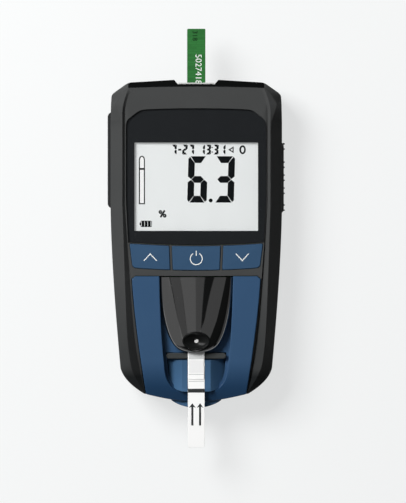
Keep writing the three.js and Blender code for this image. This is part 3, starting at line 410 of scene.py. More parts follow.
class Socket:
    """A shader output that sums can be written with: each sign adds one Math node."""

    def __init__(self, finish, output):
        self.finish, self.output = finish, output

    def maths(self, operation, first, second=None):
        inputs = {0: first} if second is None else {0: first, 1: second}
        return self.finish.node("ShaderNodeMath", {"operation": operation}, inputs)

    def __add__(self, other):
        return self.maths("ADD", self, other)

    def __sub__(self, other):
        return self.maths("SUBTRACT", self, other)

    def __rsub__(self, other):
        return self.maths("SUBTRACT", other, self)

    def __mul__(self, other):
        return self.maths("MULTIPLY", self, other)

    def __truediv__(self, other):
        return self.maths("DIVIDE", self, other)

    def __pow__(self, other):
        return self.maths("POWER", self, other)

    def blend(self, low, high):
        """0 up to one value and 1 from another, straight between them."""
        return self.finish.ranged(self, low, high)

    def size(self):
        return self.maths("ABSOLUTE", self)

    def least(self, limit):
        return self.maths("MINIMUM", self, limit)

    __radd__, __rmul__ = __add__, __mul__


class Shading:
    """A node tree: node() adds any node, with its settings first and then its inputs."""

    def __init__(self, tree):
        self.tree = tree

    def node(self, kind, settings=(), inputs=(), output=0):
        made = self.tree.nodes.new(kind)
        for key, value in dict(settings).items():
            setattr(made, key, value)
        for key, value in dict(inputs).items():
            self.feed(made.inputs[key], value)
        return Socket(self, made.outputs[output])

    def feed(self, target, value):
        if isinstance(value, Socket):
            self.tree.links.new(value.output, target)
        elif hasattr(target.default_value, "__len__") and len(target.default_value) == 4:
            target.default_value = rgba(value)
        else:
            target.default_value = value

    def mixed(self, share, first, second):
        return self.node("ShaderNodeMix", {"data_type": "RGBA"}, {0: share, 6: first, 7: second}, output=2)

    def ranged(self, value, low, high, to_low=0.0, to_high=1.0):
        return self.node("ShaderNodeMapRange", inputs={0: value, 1: low, 2: high, 3: to_low, 4: to_high})

    def seen_directly(self):
        """Whether a ray comes from the camera or from a shiny or clear surface, as 1 or 0."""
        rays = [self.node("ShaderNodeLightPath", output=name)
                for name in ("Is Camera Ray", "Is Glossy Ray", "Is Transmission Ray")]
        return (rays[0] + rays[1] + rays[2]).least(1.0)


class Finish(Shading):
    """A material with one main shader."""

    def __init__(self, name, **constants):
        self.material = bpy.data.materials.new(name)
        self.material.use_nodes = True
        super().__init__(self.material.node_tree)
        self.shader = self.tree.nodes["Principled BSDF"]
        self.place = self.node("ShaderNodeTexCoord", output="Object")
        self.set(**{key.replace("_", " "): value for key, value in constants.items()})

    def set(self, **values):
        for key, value in values.items():
            self.feed(self.shader.inputs[key], value)
        return self

    def painted(self, share, colour):
        """A dull diffuse colour over a share of the surface; the case uses it to paint shade."""
        paint = self.node("ShaderNodeBsdfDiffuse", inputs={"Color": colour})
        plain = Socket(self, self.shader.outputs["BSDF"])
        both = self.node("ShaderNodeMixShader", inputs={0: share, 1: plain, 2: paint})
        self.feed(self.tree.nodes["Material Output"].inputs["Surface"], both)

    def noise(self, scale, detail=2.0, rough=0.5, stretch=(1, 1, 1)):
        """Noise whose grains are about 1/scale metres across, stretched along the axes."""
        place = self.node("ShaderNodeMapping", inputs={"Vector": self.place, "Scale": stretch})
        return self.node("ShaderNodeTexNoise", inputs={"Vector": place, "Scale": scale, "Detail": detail,
                                                       "Roughness": rough})

    def part_of_place(self, axis):
        """One coordinate of the place, in millimetres."""
        return self.node("ShaderNodeSeparateXYZ", inputs={0: self.place}, output=axis) * (1 / MM)

    def dressed(self, tone, rough, height, strength, depth, **others):
        """Sets the colour, the roughness and a bump whose depth is in millimetres, and gives the material."""
        bump = self.node("ShaderNodeBump", inputs={"Height": height, "Strength": strength,
                                                   "Distance": depth * MM}, output="Normal")
        self.set(**{"Base Color": tone, "Roughness": rough, "Normal": bump}, **others)
        return self.material


def rgba(colour):
    """A written colour, 0 to 255 as a picture shows it, as the light that the shader works with."""
    if hasattr(colour, "__len__") and len(colour) == 4:
        return tuple(colour)
    share = np.asarray(colour, float) / 255
    light = np.where(share <= 0.04045, share / 12.92, ((share + 0.055) / 1.055) ** 2.4)
    return (*light.tolist(), 1.0)


def shade(colour, factor):
    return tuple(min(255.0, c * factor) for c in colour)


def moulded_plastic(name, colour, rough=0.42, grain=0.35, depth=0.008, specular=0.25, painted_shading_colour=None):
    """Moulded plastic: fine spark-eroded grain, faint cloudiness and slightly worn, smoother high spots.
    With a painted shading colour it takes painted shade, darker towards the strip end, and a black stripe of
    painted shade over the bevel at the chip end."""
    made = Finish(name, Specular_IOR_Level=specular)
    fine = made.noise(1 / (grain * MM), 3, 0.55)
    cloud = made.noise(55, 3, 0.6)
    wear = made.noise(16, 4, 0.65)
    worn = made.ranged(made.node("ShaderNodeNewGeometry", output="Pointiness"), 0.52, 0.60)
    tone = made.mixed(cloud, shade(colour, 0.955), shade(colour, 1.045))
    tone = made.mixed(fine * 0.16, tone, shade(colour, 1.22))
    tone = made.mixed(worn * wear * 0.35, tone, shade(colour, 1.3))
    if painted_shading_colour:
        x, y, z = (made.part_of_place(axis) for axis in range(3))
        # Painted shade: the tone darkens towards the strip end, gently down the rails and fully past the
        # heel.
        tone = made.mixed(y.blend(PANEL_TOP, HEEL_Y + 8) * 0.45, tone, painted_shading_colour)
        tone = made.mixed(y.blend(HEEL_Y - 0.5, HEEL_Y - 4), tone, painted_shading_colour)
        # Painted shade: a black stripe over the bevel past the head, at the chip end, where shade falls.
        past_head = (y + x * x * (0.6 / HEAD_X ** 2)).blend(HEAD_Y + 0.3, HEAD_Y + 0.4)
        painted_shade_band = past_head * x.size().blend(HEAD_X + 0.25, HEAD_X + 0.1) * z.blend(RIM - 0.3, RIM)
        made.painted(painted_shade_band, (17, 18, 18))
    dull = rough + (fine - 0.5) * 0.18 + (cloud - 0.5) * 0.1 - worn * 0.06
    return made.dressed(tone, dull, fine, 0.5, depth)


def gloss(name, colour, rough=0.06, specular=0.5, density=1.5):
    """Polished or satin skin: long faint wipe marks and specks change how sharp it shines, and each speck is
    a little paler."""
    made = Finish(name, Specular_IOR_Level=specular, IOR=density)
    wipes = made.noise(130, 4, 0.6, (1, 0.12, 1))
    dust = made.noise(2400, 1, 0.4)
    specks = made.ranged(dust, 0.74, 0.8)
    tone = made.mixed(specks * 0.3, colour, shade(colour, 2.2))
    dull = rough + made.ranged(wipes, 0.45, 0.8) * 0.05 + specks * 0.2
    return made.dressed(tone, dull, made.noise(420, 2), 0.06, 0.01)


def rubber_finish(name, colour):
    made = Finish(name, Specular_IOR_Level=0.2)
    pores = made.noise(5200, 3, 0.7)
    dust = made.noise(90, 5, 0.7)
    tone = made.mixed(made.ranged(dust, 0.45, 0.75) * 0.5, colour, shade(colour, 1.45))
    return made.dressed(tone, 0.78 + (pores - 0.5) * 0.3, pores, 0.6, 0.03)


def metal_finish(name, colour, rough=0.28, stretch=(1, 14, 1)):
    """Drawn or stamped metal: brushed one way, with a darker bloom."""
    made = Finish(name, Metallic=1.0)
    brushed = made.noise(2600, 2, 0.6, stretch)
    bloom = made.noise(240, 4, 0.6)
    tone = made.mixed(bloom * 0.5, colour, shade(colour, 0.72))
    return made.dressed(tone, rough + (brushed - 0.5) * 0.3 + (bloom - 0.5) * 0.12, brushed, 0.2, 0.01)


def panel_blue(name, colour, painted_shading_colour):
    """Satin blue: a fine grain, and painted shading towards the strip end, where the panel rolls over."""
    made = Finish(name, Specular_IOR_Level=0.12)
    grain = made.noise(3000, 3, 0.6)
    cloud = made.noise(42, 3, 0.6)
    # Painted shading: the share of the painted shading colour, which grows towards the strip end.
    low = made.part_of_place(1).blend(NOSE_Y - 4, NOSE_Y - 16)
    tone = made.mixed(low, made.mixed(cloud, shade(colour, 0.97), shade(colour, 1.03)), painted_shading_colour)
    tone = made.mixed(grain * 0.14, tone, shade(colour, 1.25))
    return made.dressed(tone, 0.36 + (grain - 0.5) * 0.2 + (cloud - 0.5) * 0.12, grain, 0.4, 0.01)


def display_finish():
    """Reflective liquid crystal: pale grey, with the fine mesh of its rear film, painted shade along its
    border where its well shades it, and a faint glow of painted light."""
    made = Finish("display_film", Specular_IOR_Level=0.2, Roughness=0.35)
    x, y = made.part_of_place(0), made.part_of_place(1)
    film = made.noise(5200, 2, 0.8)
    reach = (x.size() / GLASS_X) ** 8
    middle = (GLASS_TOP + GLASS_BOTTOM) / 2
    rise = ((y - middle).size() / (GLASS_TOP - middle)) ** 8
    tone = made.mixed(film * 0.5, (203, 206, 206), (209, 211, 210))
    # Painted shade: the film darkens towards its border, where the window's well shades it.
    tone = made.mixed((reach + rise) * 0.25, tone, (176, 180, 180))
    # Painted light: the film glows a little, which lifts it where the window over it shades it.
    made.set(**{"Base Color": tone, "Emission Color": tone, "Emission Strength": 0.4})
    return made.material


def clear_finish(name, tint, opacity=0.04, rough=0.03, specular=0.25):
    """Clear moulded window: nearly see-through, with a hard shiny coat and faint wipe marks."""
    made = Finish(name, Specular_IOR_Level=specular)
    wipes = made.noise(90, 4, 0.6, (1, 0.25, 1))
    slant = made.node("ShaderNodeLayerWeight", inputs={"Blend": 0.3}, output="Facing")
    wiped = made.ranged(wipes, 0.5, 0.8)
    tone = made.mixed(wipes, tint, shade(tint, 1.2))
    return made.dressed(tone, rough + wiped * 0.04, made.noise(60, 2), 0.03, 0.05,
                        Alpha=opacity + wiped * 0.012 + slant ** 5 * 0.4)


def ink(name, colour, rough=0.45, specular=0.2):
    """Printed ink: small pinholes and an uneven edge to its gloss."""
    made = Finish(name, Specular_IOR_Level=specular)
    grain = made.noise(4200, 3, 0.6)
    tone = made.mixed(made.ranged(grain, 0.6, 0.85) * 0.35, colour, shade(colour, 1.18))
    return made.dressed(tone, rough + (grain - 0.5) * 0.25, grain, 0.2, 0.006)


def board_finish(name, colour):
    """Solder mask over traces: lines of a coarse square pattern show lighter and slightly raised."""
    made = Finish(name, Specular_IOR_Level=0.12)
    brick = made.node("ShaderNodeTexBrick", {"offset": 0.37, "squash": 0.6, "squash_frequency": 3}, {
        "Vector": made.place, "Scale": 1.0, "Brick Width": 6.2 * MM, "Row Height": 1.1 * MM,
        "Mortar Size": 0.12 * MM, "Color1": (0, 0, 0), "Color2": (255, 255, 255),
        "Mortar": (120, 120, 120)}, output="Color")
    lines = made.node("ShaderNodeRGBToBW", inputs={0: brick})
    grain = made.noise(1800, 2)
    tone = made.mixed(lines * 0.35, colour, shade(colour, 1.35))
    return made.dressed(tone, 0.34 + (grain - 0.5) * 0.25, lines + grain * 0.3, 0.3, 0.02)


def silicone_finish(name, colour):
    made = Finish(name, Specular_IOR_Level=0.25, Subsurface_Weight=0.1)
    haze = made.noise(600, 4, 0.6)
    tone = made.mixed(haze, shade(colour, 0.93), shade(colour, 1.06))
    return made.dressed(tone, 0.6 + (haze - 0.5) * 0.3, haze, 0.3, 0.02)


# Painted shade: the case darkens towards the strip end and takes a black stripe over the head's bevel.
charcoal = moulded_plastic("charcoal_plastic", (65, 66, 66), specular=0.015, painted_shading_colour=(31, 33, 34))
rear_charcoal = moulded_plastic("rear_plastic", (54, 55, 56), rough=0.55, grain=0.5, depth=0.02,
                                specular=0.08)
bar_grey = moulded_plastic("bar_plastic", (57, 59, 59), rough=0.4, specular=0.08)
key_blue = panel_blue("key_blue", (50, 77, 105), (50, 77, 105))
# Painted shade: the cover turns darker where it rolls over towards the strip end.
cover_blue = panel_blue("cover_blue", (50, 78, 109), (32, 61, 92))
# Painted light: the saddle and its lip turn lighter towards the strip end, where the cover shades them.
saddle_blue = panel_blue("saddle_blue", (54, 83, 112), (62, 95, 128))
black_gloss = gloss("black_gloss", (17, 18, 18), rough=0.04, specular=1.0, density=2.0)
cup_black = gloss("cup_black", (23, 24, 24), rough=0.32, specular=0.12)
gasket_black = gloss("gasket_black", (27, 29, 31), rough=0.3, specular=0.15)
window_clear = clear_finish("window_clear", (40, 44, 48))
lens_clear = clear_finish("lens_clear", (200, 214, 220), opacity=0.3)
notch_grey = ink("notch_grey", (196, 197, 196))
film = display_finish()
glyph_ink = ink("glyph_ink", (231, 233, 230))
segment_ink = ink("segment_ink", (14, 16, 17), rough=0.7, specular=0.02)
strip_white = ink("strip_white", (250, 250, 249), rough=0.5)
strip_grey = ink("strip_grey", (205, 206, 206))
strip_pale = ink("strip_pale", (236, 236, 236))
strip_dark = ink("strip_dark", (48, 50, 51))
soft_rubber = rubber_finish("soft_rubber", (27, 28, 29))
steel = metal_finish("steel", (186, 188, 190))
spring_steel = metal_finish("spring_steel", (205, 205, 202), rough=0.2)
gold = metal_finish("gold_plate", (212, 175, 92), rough=0.22)
board_green = board_finish("board_green", (44, 98, 50))
chip_green = board_finish("chip_green", (43, 100, 49))
silicone = silicone_finish("silicone", (150, 156, 163))
guide_white = silicone_finish("guide_white", (236, 238, 236))
cell_wrap = gloss("cell_wrap", (60, 64, 69), rough=0.25)
package_black = moulded_plastic("package_black", (26, 27, 28), rough=0.5, grain=0.12)


# The case's own curves

def face_z(y):
    """Height of the face: a gentle parabola down the panel, and a steeper one over the strip end."""
    gentle, roll = np.maximum(0, PANEL_TOP + 0.6 - y), np.maximum(0, HEEL_CREST_Y + 1.2 - y)
    return FACE - 0.0005 * gentle ** 2 - 0.018 * roll ** 2


def side_x(y):
    """Half-width of the case: straight beside the display, then drawn in by a power of the distance."""
    return CASE_X - 4.6 * (np.maximum(0, SIDE_ARC_Y - y) / (SIDE_ARC_Y - HEEL_Y)) ** 1.55


def rail_share(y):
    """Share of the way down the curved side, from its start to the heel's crest."""
    return np.maximum(0, SIDE_ARC_Y - y) / (SIDE_ARC_Y - HEEL_CREST_Y)


def crest_x(y):
    """Where the rail's crest runs: drawn in towards both ends."""
    share = rail_share(y)
    head = clamp((y - SIDE_TOP_Y) / (HEAD_Y - SIDE_TOP_Y))
    return CREST_X - RAIL_DRAW * (0.6 * share + 0.4 * share ** 8) - 2.9 * head ** 1.5


def crest_z(y):
    return CREST - 0.48 * np.maximum(0, HEEL_CREST_Y - y)


def rail_foot_x(y):
    return crest_x(y) - lerp(1.2, 3.9, np.minimum(1, rail_share(y)))


def groove_depth(y):
    """How far the foot of the rail's inner slope lies under the face: deepest beside the blue cover."""
    return np.interp(-y, [-FACET_Y, -SIDE_TOP_Y, -SIDE_ARC_Y, -PANEL_TOP, -HEEL_Y, -CORNER_Y],
                     [0, 0.5, 0.5, 1.3, 1.5, 0])


def panel_x(y):
    """Half-width of the blue cover: drawn in by a power of the share of its length."""
    return lerp(PANEL_X, PANEL_FOOT_X, clamp((PANEL_TOP - y) / (PANEL_TOP - CORNER_Y)) ** 1.35)


def bowed(x, y):
    """A point of the key row's edges, raised by the row's bow."""
    return np.stack(np.broadcast_arrays(x, y + 1.2 * (np.asarray(x) / KEY_ROW_X) ** 2), axis=-1)


def lens_half():
    """Right half of the display window's outline, from the middle of its top edge to the middle of its
    foot."""
    x = LENS_X
    return np.vstack([
        bend((0, LENS_TOP), (x / 2, LENS_TOP), (x - 8.2, LENS_TOP - 0.6), 12),
        bend((x - 8.2, LENS_TOP - 0.6), (x - 6.2, LENS_TOP - 0.8), (x - 4.6, LENS_TOP - 2.2), 7)[1:],
        [[x - 1.8, LENS_TOP - 4.3]],
        bend((x - 1.8, LENS_TOP - 4.3), (x, LENS_TOP - 5.6), (x, LENS_TOP - 8), 7)[1:],
        np.column_stack([np.full(6, x), np.linspace(LENS_TOP - 8, LENS_BEND_Y, 7)[1:]]),
        straight([(x, LENS_BEND_Y), bowed(x - 1.1, KEY_ROW_TOP + 0.6)], [5])[1:-1],
        bowed(np.linspace(x - 1.1, 0, 13), KEY_ROW_TOP + 0.6)])


# Stations round the right half of the case, from the middle of the chip end to the middle of the strip end
LEG_NAMES = ["back", "flank", "top", "chamfer", "brow", "facet", "side", "arc", "corner", "step", "end"]
LEG_COUNTS = [6, 5, 28, 10, 8, 12, 10, 44, 14, 3, 28]
LEG_STARTS = dict(zip(LEG_NAMES, np.cumsum([0] + LEG_COUNTS[:-1]).tolist()))
STATION = np.arange(sum(LEG_COUNTS) + 1)


def legs(first, last=None):
    """The stations of one leg, or of a run of legs, with both ends."""
    last = last or first
    return slice(LEG_STARTS[first], LEG_STARTS[last] + LEG_COUNTS[LEG_NAMES.index(last)] + 1)


LONG_SIDE, LOW_SIDE, HEAD_SIDE = legs("brow", "arc"), legs("side", "arc"), legs("chamfer", "facet")
FOLDS = [LEG_STARTS["chamfer"], LEG_STARTS["brow"]]


def case_outline():
    """Right half of the case's outline, one point for each station."""
    end = np.vstack([bend((CORNER_X, CORNER_Y), (CORNER_X - 14, CASE_BOTTOM), (3, CASE_BOTTOM), 60),
                     [[0, CASE_BOTTOM]]])
    step_x = PANEL_FOOT_X + SEAM
    step_y = np.interp(-step_x, -end[:, 0], end[:, 1])
    heel_x = side_x(HEEL_Y)
    line = straight([(0, NOTCH_Y), (NOTCH_X, NOTCH_Y), (MOUTH_X, MOUTH_Y), (SHOULDER_X, SHOULDER_Y),
                     (CHAMFER_X, CHAMFER_Y), (CHAMFER_X + 0.3, FACET_Y), (CASE_X, SIDE_START_Y),
                     (CASE_X, SIDE_ARC_Y), (heel_x, HEEL_Y), (CORNER_X, CORNER_Y), (step_x, step_y),
                     (0, CASE_BOTTOM)], LEG_COUNTS)
    line[legs("arc"), 0] = side_x(line[legs("arc"), 1])
    line[legs("corner")] = bend((heel_x, HEEL_Y), (heel_x - 1.5, HEEL_Y - 6.2), (CORNER_X, CORNER_Y), 15)
    inner = end[end[:, 0] < step_x]
    line[legs("end")] = along(np.vstack([[[step_x, step_y]], inner]), np.linspace(0, 1, LEG_COUNTS[-1] + 1))
    return line


OUTLINE = case_outline()


def inset_half(distance):
    """The right half of the case's outline moved inwards."""
    return grown(both_halves(OUTLINE), -distance)[:len(OUTLINE)]


def crest_line():
    """The edge of the flat head along the top, then the crest of the rail."""
    corner = (CORNER_X - 0.35, CORNER_Y + 0.35)
    line = straight([
        (0, HEAD_Y + 0.9, FACE), (NOTCH_X - 0.2, HEAD_Y + 0.84, FACE), (MOUTH_X - 0.4, HEAD_Y + 0.8, FACE),
        (HEAD_X, HEAD_Y, FACE), (crest_x(CHAMFER_Y), CHAMFER_Y, CREST - 0.35),
        (crest_x(FACET_Y), FACET_Y, CREST), (crest_x(SIDE_START_Y), SIDE_START_Y, CREST),
        (crest_x(SIDE_ARC_Y), SIDE_ARC_Y, CREST), (crest_x(HEEL_Y), HEEL_Y, crest_z(HEEL_Y)),
        (*corner, PANEL_SKIRT + 2.95), (STEP_X, CORNER_Y + 0.4, END_Z), (0, CASE_BOTTOM + 0.8, END_Z)],
        LEG_COUNTS)
    line[legs("top"), 1] = HEAD_Y + 0.9 - 0.9 * (OUTLINE[legs("top"), 0] / HEAD_X) ** 2
    y = OUTLINE[LONG_SIDE, 1]
    line[LONG_SIDE, 0], line[LONG_SIDE, 1] = crest_x(y), y
    line[legs("arc"), 2] = crest_z(OUTLINE[legs("arc"), 1])
    bow = bend(line[LEG_STARTS["corner"], :2], (CORNER_X + 4.3, HEEL_Y - 4.2), corner, 15)
    line[legs("corner")] = at_height(bow, crest_z(bow[:, 1]))
    return line


def rim_line(crest):
    """Rim of the side wall, at the foot of the bevel; it rises where the notch cuts into the bevel."""
    line = at_height(OUTLINE, np.interp(OUTLINE[:, 1], [NOTCH_Y, MOUTH_Y], [FACE - 1.3, RIM]))
    line[LEG_STARTS["top"]:, 2] = RIM
    marks = [HEEL_Y, HEEL_Y + 12, SIDE_TOP_Y - 8, SIDE_TOP_Y]
    line[LOW_SIDE, 2] = RIM - np.interp(OUTLINE[LOW_SIDE, 1], marks, [0, 1.3, 1.3, 0])
    line[legs("end"), 2] = END_Z
    line[legs("corner"), 2] = np.minimum(RIM, crest[legs("corner"), 2] - 0.35)
    return line


def shoulder_line(crest, rim):
    """Just outside the crest, and far outside it at the facet beside the head."""
    line = lerp(crest, rim, np.where(STATION < LEG_STARTS["top"], 0.5, 0.12)[:, None])
    y = OUTLINE[HEAD_SIDE, 1]
    line[HEAD_SIDE, 0] = np.interp(-y, [-(HEAD_Y - 0.3), -CHAMFER_Y, -(FACET_Y - 0.1), -SIDE_START_Y],
                                   [HEAD_X + 0.5, HEAD_X + 3.3, CASE_X - 2.15, CREST_X + 0.5])
    line[HEAD_SIDE, 1] = y
    line[legs("chamfer")] = straight([(HEAD_X + 0.35, HEAD_Y + 0.25, FACE - 0.45),
                                      (HEAD_X + 3.3, CHAMFER_Y, CREST - 1.35)], LEG_COUNTS[3:4])
    facet = legs("brow", "facet")
    drop = np.interp(OUTLINE[facet, 1], [SIDE_START_Y, FACET_Y, CHAMFER_Y], [0.45, 1.6, 1.2])
    line[facet, 2] = crest[facet, 2] - drop
    line[LOW_SIDE] = crest[LOW_SIDE] + [0.5, 0, -0.45]
    line[legs("corner")] = lerp(crest, rim, 0.12)[legs("corner")]
    return line


def foot_line():
    """The foot of the rail's inner slope."""
    line = straight([
        (0, HEAD_Y - 0.6, FACE), (NOTCH_X - 0.4, HEAD_Y - 0.65, FACE), (MOUTH_X - 0.7, HEAD_Y - 0.7, FACE),
        (HEAD_X - 1.4, HEAD_Y - 1.5, FACE), (rail_foot_x(CHAMFER_Y), CHAMFER_Y, FACE),
        (rail_foot_x(FACET_Y), FACET_Y, FACE), (rail_foot_x(SIDE_START_Y), SIDE_START_Y, FACE),
        (rail_foot_x(SIDE_ARC_Y), SIDE_ARC_Y, FACE), (rail_foot_x(HEEL_Y), HEEL_Y, face_z(HEEL_Y)),
        (CORNER_X - 0.5, CORNER_Y + 0.5, PANEL_SKIRT + 3.1), (STEP_X, CORNER_Y + 0.7, END_Z),
        (0, CASE_BOTTOM + 1.2, END_Z)], LEG_COUNTS)
    y = OUTLINE[LONG_SIDE, 1]
    line[LONG_SIDE] = np.column_stack([rail_foot_x(y), y, face_z(y) - groove_depth(y)])
    bow = bend(line[LEG_STARTS["corner"], :2], (CORNER_X + 1.3, HEEL_Y - 4.2),
               (CORNER_X - 0.55, CORNER_Y + 0.5), 15)
    z = np.minimum(face_z(bow[:, 1]) - groove_depth(bow[:, 1]), crest_z(bow[:, 1]) - 0.05)
    line[legs("corner")] = at_height(bow, z)
    return line


def step_of(line):
    """The straight step between a line's corner and its strip end."""
    return straight([line[LEG_STARTS["step"]], line[LEG_STARTS["end"]]], [LEG_COUNTS[9]])


def edge_line(foot):
    """Edge of the opening, along the window and then down the blue cover."""
    lens = grown(both_halves(lens_half()), LENS_GAP)[:12 + 6 + 1 + 6 + 6]
    reach = np.sum(np.linalg.norm(np.diff(lens, axis=0), axis=1))
    leg_marks = np.array([0, 6.4, 8.3, 24, 28, 31.6, 36])
    lengths = straight(leg_marks[:, None], LEG_COUNTS[:6])[:, 0]
    line = foot.copy()
    line[:len(lengths)] = at_height(along(lens, lengths / reach), FACE)
    y = np.linspace(line[len(lengths) - 1, 1], SIDE_ARC_Y, LEG_COUNTS[6] + 1)
    line[legs("side")] = at_height(np.column_stack([np.full(len(y), LENS_X + LENS_GAP), y]), FACE)
    y = OUTLINE[legs("arc"), 1]
    opening = np.interp(-y, [-LENS_BEND_Y, -(KEY_ROW_TOP + 0.4), -(PANEL_TOP + 0.4)],
                        [LENS_X + LENS_GAP, LENS_X - 0.95, PANEL_X + SEAM])
    opening = np.where(y < PANEL_TOP, panel_x(y) + SEAM, opening)
    line[legs("arc")] = np.column_stack([np.minimum(opening, rail_foot_x(y) - 0.12), y, face_z(y)])
    y = np.linspace(HEEL_Y, CORNER_Y + 0.8, LEG_COUNTS[8] + 1)
    z = np.minimum(face_z(y), foot[legs("corner"), 2] + groove_depth(y))
    line[legs("corner")] = np.column_stack([panel_x(y) + SEAM, y, z])
    line[legs("end")] = at_height(inset_half(1.65)[legs("end")], END_Z)
    line[LEG_STARTS["end"]] = (STEP_X + 0.05, CORNER_Y + 1, END_Z)
    line[legs("step")] = step_of(line)
    return line


def ledge_line(wall):
    """The inner edge of the ledge under the window, the keys and the blue cover."""
    line = wall.copy()
    x, y = WINDOW_X + 0.8, WINDOW_TOP + 0.8
    window = straight([(0, y), (NOTCH_X - 1.4, y), (NOTCH_X + 0.6, y), (x - 3.2, y), (x - 0.8, y),
                       (x, y - 0.7), (x, y - 2.7), (x, SIDE_ARC_Y)], LEG_COUNTS[:7])
    line[:len(window), :2] = window
    marks = [WINDOW_BOTTOM + 6.7, KEY_ROW_TOP + 1.8, KEY_ROW_TOP + 0.8, PANEL_TOP + 0.6, PANEL_TOP - 2.4]
    width = np.interp(-OUTLINE[legs("arc"), 1], -np.array(marks), [3.0, 2.0, 0.1, 0.1, 1.5])
    line[legs("arc"), 0] = wall[legs("arc"), 0] - width
    line[legs("corner"), 0] -= np.linspace(1.5, 0.3, LEG_COUNTS[8] + 1)
    line[legs("end")] = at_height(inset_half(1.75)[legs("end")], END_Z - 0.15)
    line[legs("step")] = step_of(line)
    return line


def roof_line(foot, inner):
    """The inside of the shell under the rails and the head."""
    line = foot.copy()
    line[:, 2] -= 2.4
    line[:LEG_STARTS["brow"], 1] -= 1.5
    line[:LEG_STARTS["chamfer"] + 1, 2] = FACE - 3
    # A station that two legs share moves twice
    for name in ("brow", "facet", "side", "arc"):
        line[legs(name), 0] -= 0.2
    corner_x, corner_y = inner[LEG_STARTS["step"]]
    line[legs("corner")] = straight([line[LEG_STARTS["corner"]],
                                     (corner_x - 0.3, corner_y + 0.3, PANEL_SKIRT + 0.3)], [LEG_COUNTS[8]])
    line[legs("end")] = at_height(inset_half(1.9)[legs("end")], END_Z - 0.5)
    line[legs("step")] = step_of(line)
    return line


def front_sections():
    """Corners of the upper shell at each station: up the side, over the bevel and the rail, down to the
    opening, round its ledge, and back inside the wall to the parting line."""
    crest, foot, inner = crest_line(), foot_line(), inset_half(2)
    rim, edge, roof = rim_line(crest), edge_line(foot), roof_line(foot, inner)
    depth = straight(np.array([[1.5]] * 8 + [[1.9]] * 2 + [[0.1]] * 2), LEG_COUNTS)[:, 0]
    wall = edge - at_height(np.zeros_like(OUTLINE), depth)
    ledge = ledge_line(wall)
    under = ledge - at_height(np.zeros_like(OUTLINE), np.where(STATION > LEG_STARTS["step"], 0.1, 0.75))
    upper_wall = at_height(inner, np.minimum(RIM - 1.4, roof[:, 2] - 0.4))
    return np.stack([at_height(OUTLINE, PARTING), rim, shoulder_line(crest, rim), crest, foot, edge, wall,
                     ledge, under, roof, upper_wall, at_height(inner, PARTING)], axis=1)


FRONT_RADII = [0.3, 0.5, 0.3, 0.22, 0.2, 0.2, 0, 0, 0, 0, 0, 0]


def key_row_x(y):
    return lerp(KEY_ROW_X, KEY_ROW_FOOT_X, (KEY_ROW_TOP - y) / (KEY_ROW_TOP - KEY_ROW_BOTTOM))


def rib_x(y, side):
    """The edge of the middle key, side -1, or of the right key, side 1, beside the rib between them."""
    return 0.386 * key_row_x(y) + side * KEY_RIB / 2


def middle_key():
    """Outline of the middle key: its long edges follow the row's bow, and its corners are slightly
    rounded."""
    high, low, cut, lean = KEY_ROW_TOP, KEY_ROW_BOTTOM, 0.5, 0.03
    top, bottom = rib_x(high, -1), rib_x(low, -1)
    side_top, side_bottom = bowed(top - lean, high - cut), bowed(bottom + lean, low + cut)
    right = np.vstack([
        bowed(np.linspace(0, top - cut, 8), high),
        bend(bowed(top - cut, high), bowed(top, high), side_top, 4)[1:],
        straight([side_top, side_bottom], [6])[1:],
        bend(side_bottom, bowed(bottom, low), bowed(bottom - cut, low), 4)[1:],
        bowed(np.linspace(bottom - cut, 0, 8), low)[1:]])
    return both_halves(right)


def right_key():
    """Outline of the right key, with one large corner at its outer foot."""
    high, low, cut, outer_cut, big_cut = KEY_ROW_TOP, KEY_ROW_BOTTOM, 0.4, 0.6, 2.2
    top, bottom = rib_x(high, 1), rib_x(low, 1)
    foot_x, foot_y = bowed(KEY_ROW_FOOT_X, low)
    high_x, high_y = bowed(KEY_ROW_X, high)
    outer_top, outer_foot = (high_x - 0.05, high_y - outer_cut), (foot_x, foot_y + big_cut)
    return np.vstack([
        bowed(np.linspace(top + cut, KEY_ROW_X - outer_cut, 9), high),
        bend(bowed(KEY_ROW_X - outer_cut, high), (high_x, high_y), outer_top, 4)[1:],
        straight([outer_top, outer_foot], [5])[1:],
        bend(outer_foot, (foot_x, foot_y), (foot_x - big_cut, foot_y - 0.1), 8)[1:],
        bowed(np.linspace(foot_x - big_cut, bottom + cut, 8), low)[1:],
        bend(bowed(bottom + cut, low), bowed(bottom, low), bowed(bottom, low + cut), 4)[1:],
        straight([bowed(bottom, low + cut), bowed(top, high - cut)], [5])[1:],
        bend(bowed(top, high - cut), bowed(top, high), bowed(top + cut, high), 4)[1:-1]])


def left_of(outline):
    return (outline * [-1, 1])[::-1]


def key_bridge():
    """The flat plate between the window and the blue cover: its long edges follow both, and the keys pass
    it."""
    x = LENS_X - 0.9
    upper = bowed(np.linspace(-x, x, 41), KEY_ROW_TOP + 0.6 - LENS_GAP)
    low = both_halves(np.array([[0, PANEL_TOP + 0.1], [PANEL_X - 1.45, PANEL_TOP + 0.3],
                                [PANEL_X + 0.12, PANEL_TOP - 1.1], [PANEL_X + 0.4, PANEL_TOP - 1.2]]))
    return np.concatenate([upper, low[np.argsort(-low[:, 0])]])


def grip_room(side, y0, y1):
    """The recess for a grip on one flank, a little larger than the grip."""
    low, high = corners("left_grip" if side < 0 else "right_grip")
    x0, x1 = sorted((side * (CASE_X - 0.75), side * (CASE_X + 4)))
    room = 0.15
    return block(x0, x1, y0 - room, y1 + room, low[2] - room, high[2] + room)


LEFT_GRIP, RIGHT_GRIP = ([corner[1] for corner in corners(node)] for node in ("left_grip", "right_grip"))
GRIP_ROOMS = [grip_room(-1, *LEFT_GRIP), grip_room(1, *RIGHT_GRIP)]

